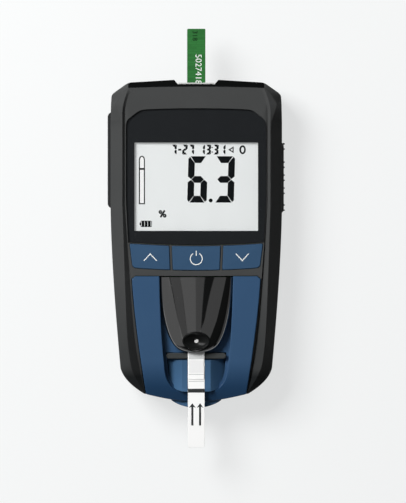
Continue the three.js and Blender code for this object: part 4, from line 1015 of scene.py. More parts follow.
shell = fillet(both_halves(soften(front_sections(), FOLDS, 2)), FRONT_RADII)
front = piece("front_shell", [grid_faces(shell, wrap_rows=True, wrap_columns=True)], charcoal,
              stands_for=["front_case"])
key_holes = [slab(grown(outline, KEY_SEAM), [(0, 10), (0, ABOVE)])
             for outline in (middle_key(), right_key(), left_of(right_key()))]
carve(front, "UNION", [slab(key_bridge(), [(0, FACE - 2.4), (0, FACE + 0.004)])])
chip_slot = block(-CHIP_X - SEAM, CHIP_X + SEAM, NOTCH_Y - 6, NOTCH_Y + 6, CHIP_Z - SEAM, CHIP_TOP + SEAM)
lip_slot = block(-LIP_X - SEAM, LIP_X + SEAM, CASE_BOTTOM - 5, CASE_BOTTOM + 8, PLATE_Z - SEAM,
                 PLATE_Z + LIP_THICK + SEAM)
carve(front, "DIFFERENCE", key_holes, [chip_slot], [lip_slot], GRIP_ROOMS)


# Rear shell

def end_lift(y, upper, lower):
    """How far the underside lifts off the table beyond two places near the ends: a square of the
    distance."""
    share = np.maximum(0, np.maximum((y - upper) / 5, (lower - y) / 7))
    return 4.5 * np.minimum(share, 1.05) ** 2


def rear_ring(inset, z, lift_share=1.0):
    """The outline, shrunk about the middle by the inset, at a height that lifts towards the ends."""
    lift = end_lift(OUTLINE[:, 1], SHOULDER_Y - 4, CASE_BOTTOM + 7) * lift_share
    return at_height(OUTLINE * (1 - inset / np.array([CASE_X, -CASE_BOTTOM])), z + lift)


def rear_rings():
    """The lower shell from its flat floor, over the tuck and the side to the parting line, and back inside
    to its inner floor."""
    tuck = PARTING - 5.5
    rings = [(9, FOOT, 0), (3.4, FOOT), (1.2, FOOT + 2.6), (0, tuck, 0.6), (0, PARTING, 0), (2, PARTING, 0),
             (2, tuck + 0.2, 0.6), (3.2, FOOT + 3.1), (4.2, FOOT + 2), (10, FOOT + 2, 0)]
    return np.stack([rear_ring(*ring) for ring in rings], axis=1)


rear_profile = fillet(both_halves(soften(rear_rings(), FOLDS, 2)), [0, 1.2, 1.2, 2.0, 0.3, 0, 0, 0, 0, 0], 4)
rear = piece("rear_shell", [grid_faces(rear_profile, wrap_rows=True, cap_columns=True)], rear_charcoal,
             stands_for=["rear_case"])

DOOR_BOTTOM = DOOR_TOP - 56.4
BAY_X = DOOR_X - 2.1
BAY_BOTTOM, BAY_TOP = DOOR_BOTTOM + 4.3, DOOR_TOP - 1.6
BAY_ROOF = corners("battery_1")[1][2] + 0.25
SCREWS = [middle_of(f"case_screw_{i}")[:2] for i in range(1, 5)]
FEET = [middle_of(f"rubber_foot_{i}")[:2] for i in range(1, 5)]
SCREW_HEAD_Z = FOOT + 4.9
HOOK_X, HOOK_HALF = 14, 3.5


def well(spot, radius, low, high, sides=40):
    return turned([(0, low), (radius, low), (radius, high), (0, high)], (*spot, 0), sides)


def hook_blocks(half, y0, y1, z0, z1):
    """A block for each of the door's two hooks."""
    return [block(side * HOOK_X - half, side * HOOK_X + half, y0, y1, z0, z1) for side in (1, -1)]


def flat_bay(half, low, high, radius, z0, z1):
    return [slab(rectangle(half, low, high, radius), [(0, z0), (0, z1)])]


carve(rear, "UNION",
      flat_bay(DOOR_X + 2.4, DOOR_BOTTOM - 4.5, DOOR_TOP + 2.4, 1.5, FOOT + 0.3, FOOT + 3.35),
      flat_bay(BAY_X + 1.3, BAY_BOTTOM - 1.3, BAY_TOP + 1.3, 1.2, FOOT + 1.5, BAY_ROOF + 1.3),
      [well(spot, 3.7, FOOT + 1, PARTING - 0.2) for spot in SCREWS])
carve(rear, "DIFFERENCE",
      flat_bay(BAY_X, BAY_BOTTOM, BAY_TOP, 0.6, 0, BAY_ROOF),
      flat_bay(DOOR_X + SEAM, DOOR_BOTTOM - SEAM, DOOR_TOP + SEAM, 1.2, BELOW, FOOT + 1.75),
      hook_blocks(HOOK_HALF + SEAM, DOOR_BOTTOM - 2.6, DOOR_BOTTOM + 2.9, FOOT + 2, FOOT + 7.15),
      hook_blocks(HOOK_HALF + SEAM, DOOR_BOTTOM - 0.3, DOOR_BOTTOM + 2.9, BELOW, FOOT + 4),
      flat_bay(20, NOSE_Y + 4.5, HOOD_TOP + 4, 1.5, BELOW, FOOT + 0.25),
      [well(spot, 2.5, BELOW, SCREW_HEAD_Z) for spot in SCREWS],
      [well(spot, 1.4, 3, 30, 20) for spot in SCREWS],
      [well(spot, 3.8, BELOW, FOOT + 0.5) for spot in FEET],
      GRIP_ROOMS)


# Battery door: a plate with rounded edges, ribs to push against, and two hooks
THUMB_Y, THUMB_RADIUS = DOOR_TOP - 7, 6.5
door = piece("door_plate",
             [rounded_slab(rectangle(DOOR_X, DOOR_BOTTOM, DOOR_TOP, 1.0), FOOT, FOOT + 1.6, 0.2, 0.25)],
             rear_charcoal, body="battery_door_body", stands_for=["battery_door"])
thumb = arc((0, THUMB_Y), THUMB_RADIUS, THUMB_RADIUS, -28, 208, 40)
carve(door, "UNION", hook_blocks(HOOK_HALF, DOOR_BOTTOM + 0.2, DOOR_BOTTOM + 1.5, FOOT + 0.8, FOOT + 3.15),
      hook_blocks(HOOK_HALF, DOOR_BOTTOM - 2, DOOR_BOTTOM + 1.4, FOOT + 2.15, FOOT + 3.15))
carve(door, "DIFFERENCE", [slab(thumb, [(0, BELOW), (0, FOOT + 0.6)])])
carve(door, "UNION", [rounded_slab(rectangle(4.2, THUMB_Y + at, THUMB_Y + at + 0.7, 0.3), FOOT + 0.1,
                                   FOOT + 0.9, 0.1, 0.2) for at in (-1.2, 0.4, 2.0, 3.6)])


# Grips
(_, _, GRIP_LOW), (_, _, GRIP_HIGH) = corners("left_grip")


def grip_pad(y0, y1, proud):
    """A rubber pad for the right flank: its outer face swells by an ellipse in height and tapers over both
    ends; the back is flat, inside the recess."""
    y = lerp(y0, y1, (1 - np.cos(np.linspace(0, np.pi, 60))) / 2)
    turn = np.linspace(-np.pi / 2, np.pi / 2, 21)
    taper = np.sqrt(clamp(1 - clamp(1 - np.minimum(y - y0, y1 - y) / 2.2) ** 2))[:, None]
    middle, half = (GRIP_LOW + GRIP_HIGH) / 2, (GRIP_HIGH - GRIP_LOW) / 2
    x = CASE_X - 0.6 + (0.6 + proud) * taper * np.cos(turn) ** 0.55
    skin = np.stack(np.broadcast_arrays(x, y[:, None], middle + half * np.sin(turn)), axis=-1)
    back = at_height(np.column_stack([np.full(len(y), CASE_X - 0.62), y]), middle)[:, None]
    return lofted(np.concatenate([back, skin], axis=1))


def grip_rib(y):
    """An upright rib on the right pad: half an oval in plan, drawn in at both ends."""
    across = arc((CASE_X + 0.5, y), 0.88, 0.42, 90, -90, 9)
    centre = across.mean(axis=0)
    rows = [at_height(centre + (across - centre) * share, z) for share, z in
            ((0.6, GRIP_LOW + 2), (1, GRIP_LOW + 2.5), (1, GRIP_HIGH - 2.5), (0.6, GRIP_HIGH - 2))]
    return lofted(rows)


left_proud = -corners("left_grip")[0][0] - CASE_X
piece("left_pad", [mirrored_surface(grip_pad(*LEFT_GRIP, left_proud))], soft_rubber, stands_for=["left_grip"])
right_pad = piece("right_pad", [grip_pad(*RIGHT_GRIP, 0.9)], soft_rubber, stands_for=["right_grip"])
rib_middle = sum(RIGHT_GRIP) / 2
carve(right_pad, "UNION", [grip_rib(rib_middle + offset + step)
                           for offset in (-13.8, -6, 0, 6, 14.4) for step in (-1.2, 1.2)])


# Feet and case screws
foot_top, screw_top, head_low = FOOT + 0.5, corners("case_screw_1")[1][2], SCREW_HEAD_Z - 1.5
foot_profile = [(0, 0.06), (2.4, 0.06), (2.7, 0), (3.2, 0), (3.48, 0.08), (3.6, 0.3), (3.6, foot_top - 0.1),
                (3.5, foot_top), (0, foot_top)]
screw_profile = [(0, head_low), (0.9, head_low + 0.02), (1.5, head_low + 0.2), (1.95, head_low + 0.65),
                 (2.1, head_low + 1.05), (2.1, SCREW_HEAD_Z), (1.1, SCREW_HEAD_Z), (1.1, screw_top - 0.6),
                 (0, screw_top)]
CROSS_LONG, CROSS_WIDE = 1.05, 0.2
for i, spot in enumerate(FEET, start=1):
    piece(f"foot_{i}", [turned(foot_profile, (*spot, 0), 44)], soft_rubber, stands_for=[f"rubber_foot_{i}"])
for i, (x, y) in enumerate(SCREWS, start=1):
    screw = piece(f"screw_{i}", [turned(screw_profile, (x, y, 0), 28)], steel, stands_for=[f"case_screw_{i}"])
    cross = [[block(x - across, x + across, y - upward, y + upward, head_low - 1, head_low + 0.8)]
             for across, upward in ((CROSS_LONG, CROSS_WIDE), (CROSS_WIDE, CROSS_LONG))]
    carve(screw, "DIFFERENCE", *cross)


# Display window, keys and glyphs
lens_outline = both_halves(lens_half())
gasket = piece("gasket", [slab(grown(lens_outline, -0.02), [(0, LENS_UNDER - 0.3), (0, LENS_UNDER - 0.02)])],
               gasket_black, stands_for=["lens_gasket"])
carve(gasket, "DIFFERENCE", [slab(rectangle(WINDOW_X, WINDOW_BOTTOM, WINDOW_TOP, 0.3), [(0, 0), (0, ABOVE)])])
piece("window", [rounded_slab(lens_outline, LENS_UNDER, FACE, 0.3)], window_clear,
      stands_for=["display_lens"])


def key_piece(name, outline, node, glyphs):
    """A key: its cap with a rounded edge and a slight crown, its flange under the face, its stem and its
    print."""
    low, flange = corners(node)[0][2], FACE - 2.7
    cap, _ = crowned_slab(outline, flange, FACE + 0.4, 0.32, 0.12)
    centre = outline.mean(axis=0)
    around = outline - centre
    stem = centre + 2.4 * around / np.linalg.norm(around, axis=1)[:, None]
    wide = grown(outline, 0.5)
    rows = [at_height(stem, low), at_height(stem, flange - 1), at_height(wide, flange - 1),
            at_height(wide, flange), *cap.reshape(-1, len(outline), 3)]
    piece(name, [lofted(rows)], key_blue, body=f"{node}_body", stands_for=[node])
    piece(f"{name}_print", print_on(glyphs, FACE + 0.34, 0.07), glyph_ink, body=f"{node}_body")


middle_y = (KEY_ROW_TOP + KEY_ROW_BOTTOM) / 2
side_key_x = (rib_x(middle_y, 1) + key_row_x(middle_y)) / 2
SIGN_LINE, POWER_RADIUS = 0.42, 2.75
ring_line = arc((0, middle_y - 0.2), POWER_RADIUS, POWER_RADIUS, 122, 418, 40)
arrow_head = np.array([(-2.95, -3.2), (0, 0), (2.95, -3.2)])
key_piece("up_cap", left_of(right_key()), "up_key",
          [stroke(arrow_head + [-side_key_x, middle_y + 2.0], SIGN_LINE)])
key_piece("down_cap", right_key(), "down_key",
          [stroke(arrow_head * [1, -1] + [side_key_x, middle_y - 1.1], SIGN_LINE)])
key_piece("power_cap", middle_key(), "power_key",
          [stroke(ring_line, SIGN_LINE), rectangle(SIGN_LINE / 2, middle_y + 1.1, middle_y + 3.45)])


# Numerals and signs of the display
BARS = {"1": "bc", "2": "abged", "3": "abgcd", "6": "afgedc", "7": "abc"}
READING_LINE, READING_TALL = WINDOW_BOTTOM + 13, 21.3
DATE_LINE, DATE_WIDE, DATE_TALL = WINDOW_TOP - 5.5, 2.45, 4.55
DATE_MIDDLE = DATE_LINE + 2.2
SLANT = 0.03
BATTERY_X, BATTERY_Y = 5.5 - WINDOW_X, WINDOW_BOTTOM + 3.2
PERCENT_X, PERCENT_Y = 12.9 - WINDOW_X, WINDOW_BOTTOM + 7.8
PEN_X, PEN_HALF, PEN_TOP, PEN_BOTTOM = 3.4 - WINDOW_X, 1.4, WINDOW_TOP - 6.05, WINDOW_BOTTOM + 12.25
SPEAKER_X, RING_X = WINDOW_X - 13.7, WINDOW_X - 7.1


def numeral(sign, left, bottom, width, height, upright, level, gap):
    """The lit ones of seven bars, each with mitred ends that stop a gap short of its neighbours. The
    uprights and the level bars have their own widths, the outer corners are cut, and the whole leans to the
    right."""
    w, h, m, cut = width, height, height / 2, upright * 0.32
    near, far, above, below = upright + gap, width - upright - gap, m + level / 2, m - level / 2
    tip = upright * 0.5 + gap * 1.4
    top = [(cut + gap, h), (w - cut - gap, h), (far, h - level), (near, h - level)]
    tall = [(0, h - cut * 1.2), (cut * 0.8, h - cut * 0.2 - gap), (upright, h - level - gap),
            (upright, above + gap), (upright * 0.5, m + gap * 1.6), (0, m + upright * 0.42 + gap)]
    centre = [(tip, m), (near, above), (far, above), (w - tip, m), (far, below), (near, below)]
    bars = {"a": top, "d": [(x, h - y) for x, y in top], "g": centre, "f": tall,
            "e": [(x, h - y) for x, y in tall], "b": [(w - x, y) for x, y in tall],
            "c": [(w - x, h - y) for x, y in tall]}
    lean = np.array([[1, 0], [SLANT, 1]])
    return [np.array(bars[bar]) @ lean + [left, bottom] for bar in BARS[sign]]


def frame_of(outline, width):
    """A hollow outline as one closed ring of ink: the outline and the same one moved inwards, joined."""
    inner, top = grown(outline, -width), GLASS_Z + 0.03
    return grid_faces(np.stack([at_height(outline, GLASS_Z), at_height(inner, GLASS_Z), at_height(inner, top),
                                at_height(outline, top)]), wrap_rows=True, wrap_columns=True)


def bar_at(x, y, half_wide, half_tall, radius=0.0):
    return rectangle(half_wide, y - half_tall, y + half_tall, radius) + [x, 0]


def dark_signs():
    """What the display shows in solid black: the reading, the date and time, and the filled parts of
    signs."""
    signs = []
    for sign, left, width in (("6", -4.2, 8.95), ("3", 7.75, 9.5)):
        signs += numeral(sign, left, READING_LINE, width, READING_TALL, 3.0, 3.1, 0.08)
    for sign, left in (("7", -11.5), ("2", -6.5), ("7", -3.5), ("1", 1.5), ("3", 4.25), ("3", 7.75),
                       ("1", 10.95)):
        signs += numeral(sign, left, DATE_LINE, DATE_WIDE, DATE_TALL, 1.0, 1.0, 0.0)
    signs += [bar_at(-7.6, DATE_MIDDLE, 0.72, 0.42)]
    signs += [oval((7.3, DATE_MIDDLE + at), 0.3, 0.3, 14) for at in (-1.05, 1.05)]
    signs += [oval((6.65, READING_LINE + 0.95), 0.9, 0.9)]
    signs += [bar_at(BATTERY_X + at, BATTERY_Y, 0.62, 1.2, 0.2) for at in (-1.6, -0.15, 1.3)]
    signs += [bar_at(BATTERY_X - 2.85, BATTERY_Y, 0.3, 0.6)]
    slash = [(PERCENT_X - 0.95, PERCENT_Y - 1.6), (PERCENT_X + 0.95, PERCENT_Y + 1.6)]
    return signs + [stroke(slash, 0.8)]


def pen_outline():
    """The pen-shaped sign: a plain body with a domed top."""
    return np.vstack([arc((PEN_X, PEN_TOP - 2.0), PEN_HALF, 2.0, 0, 180, 13),
                      [[PEN_X - PEN_HALF, PEN_BOTTOM], [PEN_X + PEN_HALF, PEN_BOTTOM]]])


percent_rings = [frame_of(oval((PERCENT_X + side * 0.98, PERCENT_Y - side * 0.85), 0.82, 0.9, 20), 0.66)
                 for side in (-1, 1)]
battery_frame = frame_of(bar_at(BATTERY_X - 0.1, BATTERY_Y, 2.6, 1.45, 0.5), 0.26)
piece("display_print", [*print_on(dark_signs(), GLASS_Z), battery_frame, *percent_rings], segment_ink)
speaker = np.array([[SPEAKER_X, DATE_MIDDLE], [SPEAKER_X + 2.5, DATE_MIDDLE - 1.55],
                    [SPEAKER_X + 2.5, DATE_MIDDLE + 1.55]])
pen_band = rectangle(PEN_HALF - 0.3, PEN_TOP - 6.5, PEN_TOP - 5.65) + [PEN_X, 0]
piece("display_outline_print",
      [frame_of(pen_outline(), 0.5), frame_of(speaker, 0.52),
       frame_of(oval((RING_X, DATE_MIDDLE), 1.5, 2.05), 0.8), *print_on([pen_band], GLASS_Z)],
      segment_ink)
piece("display_pen_white", print_on([grown(pen_outline(), -0.46)], GLASS_Z, 0.01), strip_white)


# Blue cover
ARM_STEPS, TURN_STEPS, END_STEPS = 34, 16, 22
ARM_Y = np.linspace(PANEL_TOP, HEEL_Y - 1, ARM_STEPS + 1)


def pocket_line():
    """Right half of the pocket's edge: down the arm, round the turn and across the strip end."""
    bend_y, foot_x = NOSE_Y - 5.5, POCKET_FOOT_X
    side = bend((POCKET_X, PANEL_TOP), (POCKET_X - 0.4, (HOOD_TOP + bend_y) / 2 - 4),
                (foot_x + 0.7, bend_y), 40)
    foot = bend((foot_x + 0.7, bend_y), (foot_x + 0.2, POCKET_BOTTOM + 0.7), (foot_x - 8, POCKET_BOTTOM), 40)
    line = np.vstack([side, foot[1:]])
    last = ARM_Y[-1]
    upper = line[line[:, 1] > last]
    lower = np.vstack([[np.interp(-last, -line[:, 1], line[:, 0]), last], line[line[:, 1] <= last]])
    arm = np.column_stack([np.interp(-ARM_Y, -upper[:, 1], upper[:, 0]), ARM_Y])
    turn = along(lower, np.linspace(0, 1, TURN_STEPS + 1))[1:]
    end = straight([(foot_x - 8, POCKET_BOTTOM), (0, POCKET_BOTTOM)], [END_STEPS])[1:]
    return np.vstack([arm, turn, end])


def cover_edge():
    """Right half of the cover's outer edge, its upper corner cut; the strip end follows the case's
    outline."""
    turn_y = np.linspace(ARM_Y[-1], CORNER_Y - 0.15, TURN_STEPS + 1)[1:]
    y = np.concatenate([ARM_Y, turn_y])
    end = along(OUTLINE[legs("end")], np.linspace(0.0, 1, END_STEPS + 1))[1:]
    edge = np.vstack([np.column_stack([panel_x(y), y]), end])
    edge[:, 0] -= 1.5 * clamp(1 - (PANEL_TOP - edge[:, 1]) / 1.2) * (np.arange(len(edge)) < ARM_STEPS)
    return edge


def cover_sections():
    """Corners of the U-shaped cover at each station along its right half, from the top of its arm to the
    middle of the strip end: outer edge, skirt, underside, pocket wall, ledge and pocket edge."""
    pocket, edge = pocket_line(), cover_edge()
    n, sides = len(edge), ARM_STEPS + TURN_STEPS
    station = np.arange(n)
    at_end = clamp((station - sides + 3) / 3)
    inward = grown(both_halves(edge), -1.6)[:n]
    inward[:sides + 1] = edge[:sides + 1] - [0.9, 0]
    inward[-1, 0] = 0

    surface = at_height(edge, face_z(edge[:, 1]))
    skirt = at_height(edge, lerp(surface[:, 2] - 1.6, PANEL_SKIRT, at_end))
    skirt_in = at_height(inward, skirt[:, 2])
    plate_in = at_height(inward + [-0.05, 0.02], lerp(surface[:, 2] - 1.6, surface[:, 2] - 1.75, at_end))
    plate_in[:, 0] = np.maximum(plate_in[:, 0], 0)
    wider, narrower = (grown(both_halves(pocket), distance)[:n] for distance in (1.4, -1.4))
    wider[:, 1] = np.where(station > sides, POCKET_BOTTOM - 1.4, wider[:, 1])
    for line in (wider, narrower):
        line[0, 1], line[-1, 0] = PANEL_TOP, 0
    ceiling = at_height(wider, face_z(wider[:, 1]) - 1.6)
    wall_foot = at_height(wider, LEDGE_Z - 1)
    ledge_under = at_height(narrower, LEDGE_Z - 1)
    ledge_top = at_height(narrower, LEDGE_Z)
    rim = at_height(pocket, face_z(pocket[:, 1]))
    wall_in = at_height(pocket, np.minimum(LEDGE_Z, rim[:, 2] - 0.5))
    for row in (ledge_top, ledge_under, wall_foot):
        row[:, 2] = np.minimum(row[:, 2], face_z(POCKET_BOTTOM) - 1.2)
    return np.stack([surface, skirt, skirt_in, plate_in, ceiling, wall_foot, ledge_under, ledge_top, wall_in,
                     rim], axis=1)


def pocket_floor():
    """A flat blue floor between the pocket's walls and the edge of the hood, open under the optics."""
    y = np.linspace(NOSE_Y + 20, NOSE_Y - 0.1, 24)
    wall = cover_right[:ARM_STEPS + 1, 7]
    right = np.column_stack([np.interp(-y, -wall[:, 1], wall[:, 0]) + 0.4, y])
    inner = [(9.3, NOSE_Y + 2.6), (9.3, NOSE_Y + 20)]
    outline = np.concatenate([right, left_of(right), np.array(inner[::-1]) * [-1, 1], inner])
    return slab(outline, [(0, LEDGE_Z - 0.9), (0, LEDGE_Z - 0.02)])


cover_right = cover_sections()
cover_left = cover_right[:-1][::-1] * [-1, 1, 1]
cover_grid = fillet(np.concatenate([cover_right, cover_left]), [0.45, 0.2, 0, 0, 0, 0, 0, 0, 0.4, 0.45], 4)
piece("blue_cover", [lofted(cover_grid)], cover_blue,
      stands_for=["lower_panel"], sharp=38)
piece("pocket_floor", [pocket_floor()], cover_blue)


# Hood and funnel
HOOD_FOOT_Z = FACE - 1.3
HOLE_RADIUS, ROLL = 0.95, 0.32
OPTICS_X = 9


def hood_x(y):
    """Half-width of the hood: a low power of one minus the square of the share of its length."""
    share = clamp((HOOD_TOP - y) / (HOOD_TOP - NOSE_Y))
    return HOOD_X * (1 - share ** 2) ** (1 / 3.5)


def hood_crown(y):
    """Height of the hood's middle: two parabolas that meet at its peak."""
    return HOOD_PEAK - np.where(y > HOOD_PEAK_Y, 0.003, 0.012) * (y - HOOD_PEAK_Y) ** 2


def hood_height(x, y):
    """Height of the hood's skin: an oval arch over its width, with the arch's sine to the power 1.2."""
    side = clamp(np.abs(x) / np.maximum(hood_x(y), 1e-6))
    return lerp(HOOD_FOOT_Z, hood_crown(y), (1 - side ** 2) ** 0.6)


def hood_grid():
    """Sections across the hood: upright sides and the oval arch over them."""
    share = 0.9965 * np.sin(np.linspace(0, np.pi / 2, 57)) ** 1.25
    y = lerp(HOOD_TOP, NOSE_Y, share)[:, None]
    turn = np.linspace(0, np.pi, 81)[None, :]
    x = hood_x(y) * np.cos(turn)
    z = lerp(HOOD_FOOT_Z, hood_crown(y), np.abs(np.sin(turn)) ** 1.2)
    arch = np.stack([x, y + 0 * turn, z], axis=-1)
    feet = np.stack([np.concatenate([hood_x(y), -hood_x(y)], axis=1), np.repeat(y, 2, axis=1),
                     np.full((len(y), 2), LEDGE_Z)], axis=-1)
    return np.concatenate([feet[:, :1], arch, feet[:, 1:]], axis=1)


def funnel_grid(around=72):
    """Oval rings: up the outer wall, over a rolled rim that follows the hood, and down the bowl to its hole.
    The bowl's rings follow a cup's profile, with the height's share to the power 0.8."""
    turn = np.linspace(0, 2 * np.pi, around, endpoint=False)
    c, s = np.cos(turn), np.sin(turn)
    rim_z = hood_height(FUNNEL_RX * c, FUNNEL_Y + FUNNEL_RY * s) + ROLL
    base = STRIP_TOP + 0.5

    def ring(rx, ry, z):
        return at_height(np.column_stack([rx * c, FUNNEL_Y + ry * s]), z)

    rings = [ring(HOLE_RADIUS, HOLE_RADIUS, base), ring(FUNNEL_RX, FUNNEL_RY, base)]
    for a in np.linspace(0, np.pi, 9):
        inset = ROLL * (1 - np.cos(a))
        rings.append(ring(FUNNEL_RX - inset, FUNNEL_RY - inset, rim_z - ROLL * (1 - np.sin(a))))
    cup_x, cup_top, cup_foot = 3.62, 3.25, -0.2
    cup = [(3.35, 2.6), (2.9, 1.85), (2.2, 1.2), (1.5, 0.8), (HOLE_RADIUS, 0.45), (HOLE_RADIUS, cup_foot)]
    for x, z in cup:
        reach = (x - HOLE_RADIUS) / (cup_x - HOLE_RADIUS)
        height = (z - cup_foot) / (cup_top - cup_foot)
        rx, ry = (lerp(HOLE_RADIUS, radius - 2 * ROLL, reach) for radius in (FUNNEL_RX, FUNNEL_RY))
        rings.append(ring(rx, ry, lerp(base, rim_z - ROLL, height ** 0.8)))
    return np.stack(rings)


hood = piece("hood", [lofted(hood_grid())], black_gloss,
             stands_for=["optics_hood"], sharp=50)
seat = oval((0, FUNNEL_Y), FUNNEL_RX + KEY_SEAM, FUNNEL_RY + KEY_SEAM, 64)
carve(hood, "DIFFERENCE", [block(-OPTICS_X, OPTICS_X, NOSE_Y + 2.7, HOOD_TOP - 3, 0, FACE - 0.5)],
      [block(-STRIP_X - 0.5, STRIP_X + 0.5, NOSE_Y - 1, STRIP_INNER - 2, 0, STRIP_TOP + 0.4)],
      [slab(seat, [(0, 0), (0, ABOVE)])], sharp=50)
piece("funnel", [grid_faces(funnel_grid(), wrap_rows=True, wrap_columns=True)], cup_black,
      stands_for=["sample_funnel"], sharp=60)
wick = [(0, 0.35), (0.93, 0.35), (0.93, 0.95), (0.8, 1.02), (0, 1.04)]
piece("funnel_wick", [turned(wick, (0, FUNNEL_Y, STRIP_TOP), 28)], strip_white)


# Strip holder, bar and strip
LIP_Y = CASE_BOTTOM - 3.2
BOSS_X, BOSS_TOP, BOSS_RIM = STRIP_X + 2.75, STRIP_Z + 0.6, PLATE_Z + 1.5
BOSS_REACH = POCKET_FOOT_X - 0.6
BAR_Y, BAR_X, BAR_ROUND = NOSE_Y - 1.75, POCKET_FOOT_X - 0.2, 1.35
(_, _, BAR_Z), (_, _, BAR_TOP) = corners("holder_bar")
STRIP_SKIN, PAD_Z = STRIP_Z + 0.54, STRIP_TOP - 0.03
CHANNEL_GAP = 0.15


def saddle_surface():
    """The saddle: flat on top beside the strip, then a slightly swelling slope down under the pocket's
    ledge."""
    pocket_foot = cover_right[ARM_STEPS - 4:, 9]
    y = np.linspace(NOSE_Y - SEAM, POCKET_BOTTOM + 0.12, 33)[:, None]
    turn = np.linspace(0, np.pi / 2, 17)[None, :]
    limit = np.interp(-y, -pocket_foot[:, 1], pocket_foot[:, 0]) - SEAM
    reach = np.minimum(BOSS_REACH, limit)
    x = BOSS_X + (reach - BOSS_X) * np.sin(turn)
    full = clamp((x - BOSS_X) / (BOSS_REACH - BOSS_X))
    z = lerp(BOSS_RIM, BOSS_TOP, 1 - full ** 1.08)
    slope = np.stack([x, y + 0 * x, z], axis=-1)
    foot = np.stack([reach, y, np.full_like(y, PLATE_Z + 0.7)], axis=-1)
    top = np.stack([np.zeros_like(y), y, np.full_like(y, BOSS_TOP)], axis=-1)
    half = np.concatenate([top, slope, foot], axis=1)
    section = np.concatenate([half[:, :0:-1], half[:, :1], half[:, 1:] * [-1, 1, 1]], axis=1)
    return lofted(section)


lip = np.vstack([[(LIP_X, NOSE_Y - SEAM)], [(LIP_X, CASE_BOTTOM + 0.5)],
                 bend((LIP_X, CASE_BOTTOM + 0.5), (LIP_X - 4, LIP_Y + 0.6), (0, LIP_Y), 14)[1:]])
post_y = (NOSE_Y + CASE_BOTTOM) / 2 + 1.8
holder = piece("holder", [saddle_surface()], saddle_blue, stands_for=["strip_holder"])
carve(holder, "UNION", [rounded_slab(both_halves(lip), PLATE_Z, PLATE_Z + LIP_THICK, 0.35, 0.3)],
      [well((side * 8, post_y), 2.2, FOOT + 2, PLATE_Z + 0.5, 24) for side in (-1, 1)])
carve(holder, "DIFFERENCE",
      [block(-STRIP_X - CHANNEL_GAP, STRIP_X + CHANNEL_GAP, LIP_Y - 9, NOSE_Y + 3,
             STRIP_Z - CHANNEL_GAP, ABOVE)],
      [block(-BOSS_REACH - 1, BOSS_REACH + 1, BAR_Y - 1.9, BAR_Y + 1.9, BAR_Z - SEAM, ABOVE)])

bar_half = arc((BAR_X - BAR_ROUND, BAR_Y), BAR_ROUND, BAR_ROUND, -90, 90, 15)
bar_outline = np.concatenate([bar_half, left_of(bar_half)])
piece("bar", [rounded_slab(bar_outline, BAR_Z, BAR_TOP, 0.45, 0.2)], bar_grey, stands_for=["holder_bar"])


def strip_rectangle(inset, near, far, radius=0.0):
    """A rectangle on the strip, its ends measured from the strip's inner end."""
    return rectangle(STRIP_X - inset, STRIP_INNER - far, STRIP_INNER - near, radius)


def up_arrow(x, tip_y, foot_y, head, stem):
    neck_y, barb_y = tip_y - head * 1.05, tip_y - head * 1.35
    return np.array([[x, tip_y], [x + head, barb_y], [x + stem, neck_y], [x + stem, foot_y],
                     [x - stem, foot_y], [x - stem, neck_y], [x - head, barb_y]])


strip = piece("strip", [rounded_slab(rectangle(STRIP_X, STRIP_OUTER, STRIP_INNER, 0.7), STRIP_Z, STRIP_SKIN,
                                     0.08, 0.05)],
              strip_white, body="test_strip_body", stands_for=["test_strip"])
carve(strip, "UNION", [rounded_slab(strip_rectangle(0.2, near, far, 0.3), STRIP_Z + 0.2, PAD_Z, 0.1)
                       for near, far in ((0.6, 19), (21, 27))])
pads = [slab(strip_rectangle(0.35, near, far), [(0, z), (0, z + 0.02)])
        for near, far, z in ((14.4, 17.8, PAD_Z), (24.5, 24.9, PAD_Z), (27.7, 28.1, STRIP_SKIN))]
piece("strip_pads", pads, strip_grey, body="test_strip_body")
piece("strip_window", print_on([strip_rectangle(0.5, 18.2, 24.0)], PAD_Z, 0.02), strip_pale,
      body="test_strip_body")
marks = [up_arrow(x, STRIP_OUTER + 20.3, STRIP_OUTER + 10.1, 1.55, 0.48) for x in (-1.8, 1.75)]
marks += [rectangle(STRIP_X - 0.05, STRIP_OUTER + 25.2, STRIP_OUTER + 27.0)]
piece("strip_print", print_on(marks, STRIP_SKIN, 0.02), strip_dark, body="test_strip_body")


# Code chip, and a pale grey strip across the notch above it
piece("notch_strip", [rounded_slab(rectangle(NOTCH_X - 0.1, NOTCH_Y + 0.05, NOTCH_Y + 0.75, 0.15),
                                  CHIP_TOP + 0.7, CHIP_TOP + 1.5, 0.15)], notch_grey)
board = rectangle(CHIP_X, CHIP_INNER, CHIP_OUTER, 0.5)
piece("chip_board", [rounded_slab(board, CHIP_Z, CHIP_TOP, 0.12, 0.12)], chip_green, body="code_chip_body",
      stands_for=["code_chip"])
pad = rectangle(0.75, CHIP_INNER + 0.7, CHIP_INNER + 7.5, 0.15)
pads = [rounded_slab(pad + [x, 0], CHIP_Z - 0.02, CHIP_Z + 0.02, 0.01) for x in (-2.4, -0.8, 0.8, 2.4)]
piece("chip_pads", pads, gold, body="code_chip_body")


def chip_text(name, text, height, x, y, finish):
    """Plain figures that read down the chip."""
    plate = moved(numerals(text, height, -np.pi / 2), (x, y, CHIP_TOP + 0.012))
    piece(name, [plate], finish, body="code_chip_body")


chip_text("chip_numerals", "5027418", 2.9, 0.9, CHIP_INNER + 19.7, glyph_ink)
chip_text("chip_small_numerals", "318", 2.3, -0.7, CHIP_OUTER - 3.2, segment_ink)


# Batteries and their contacts

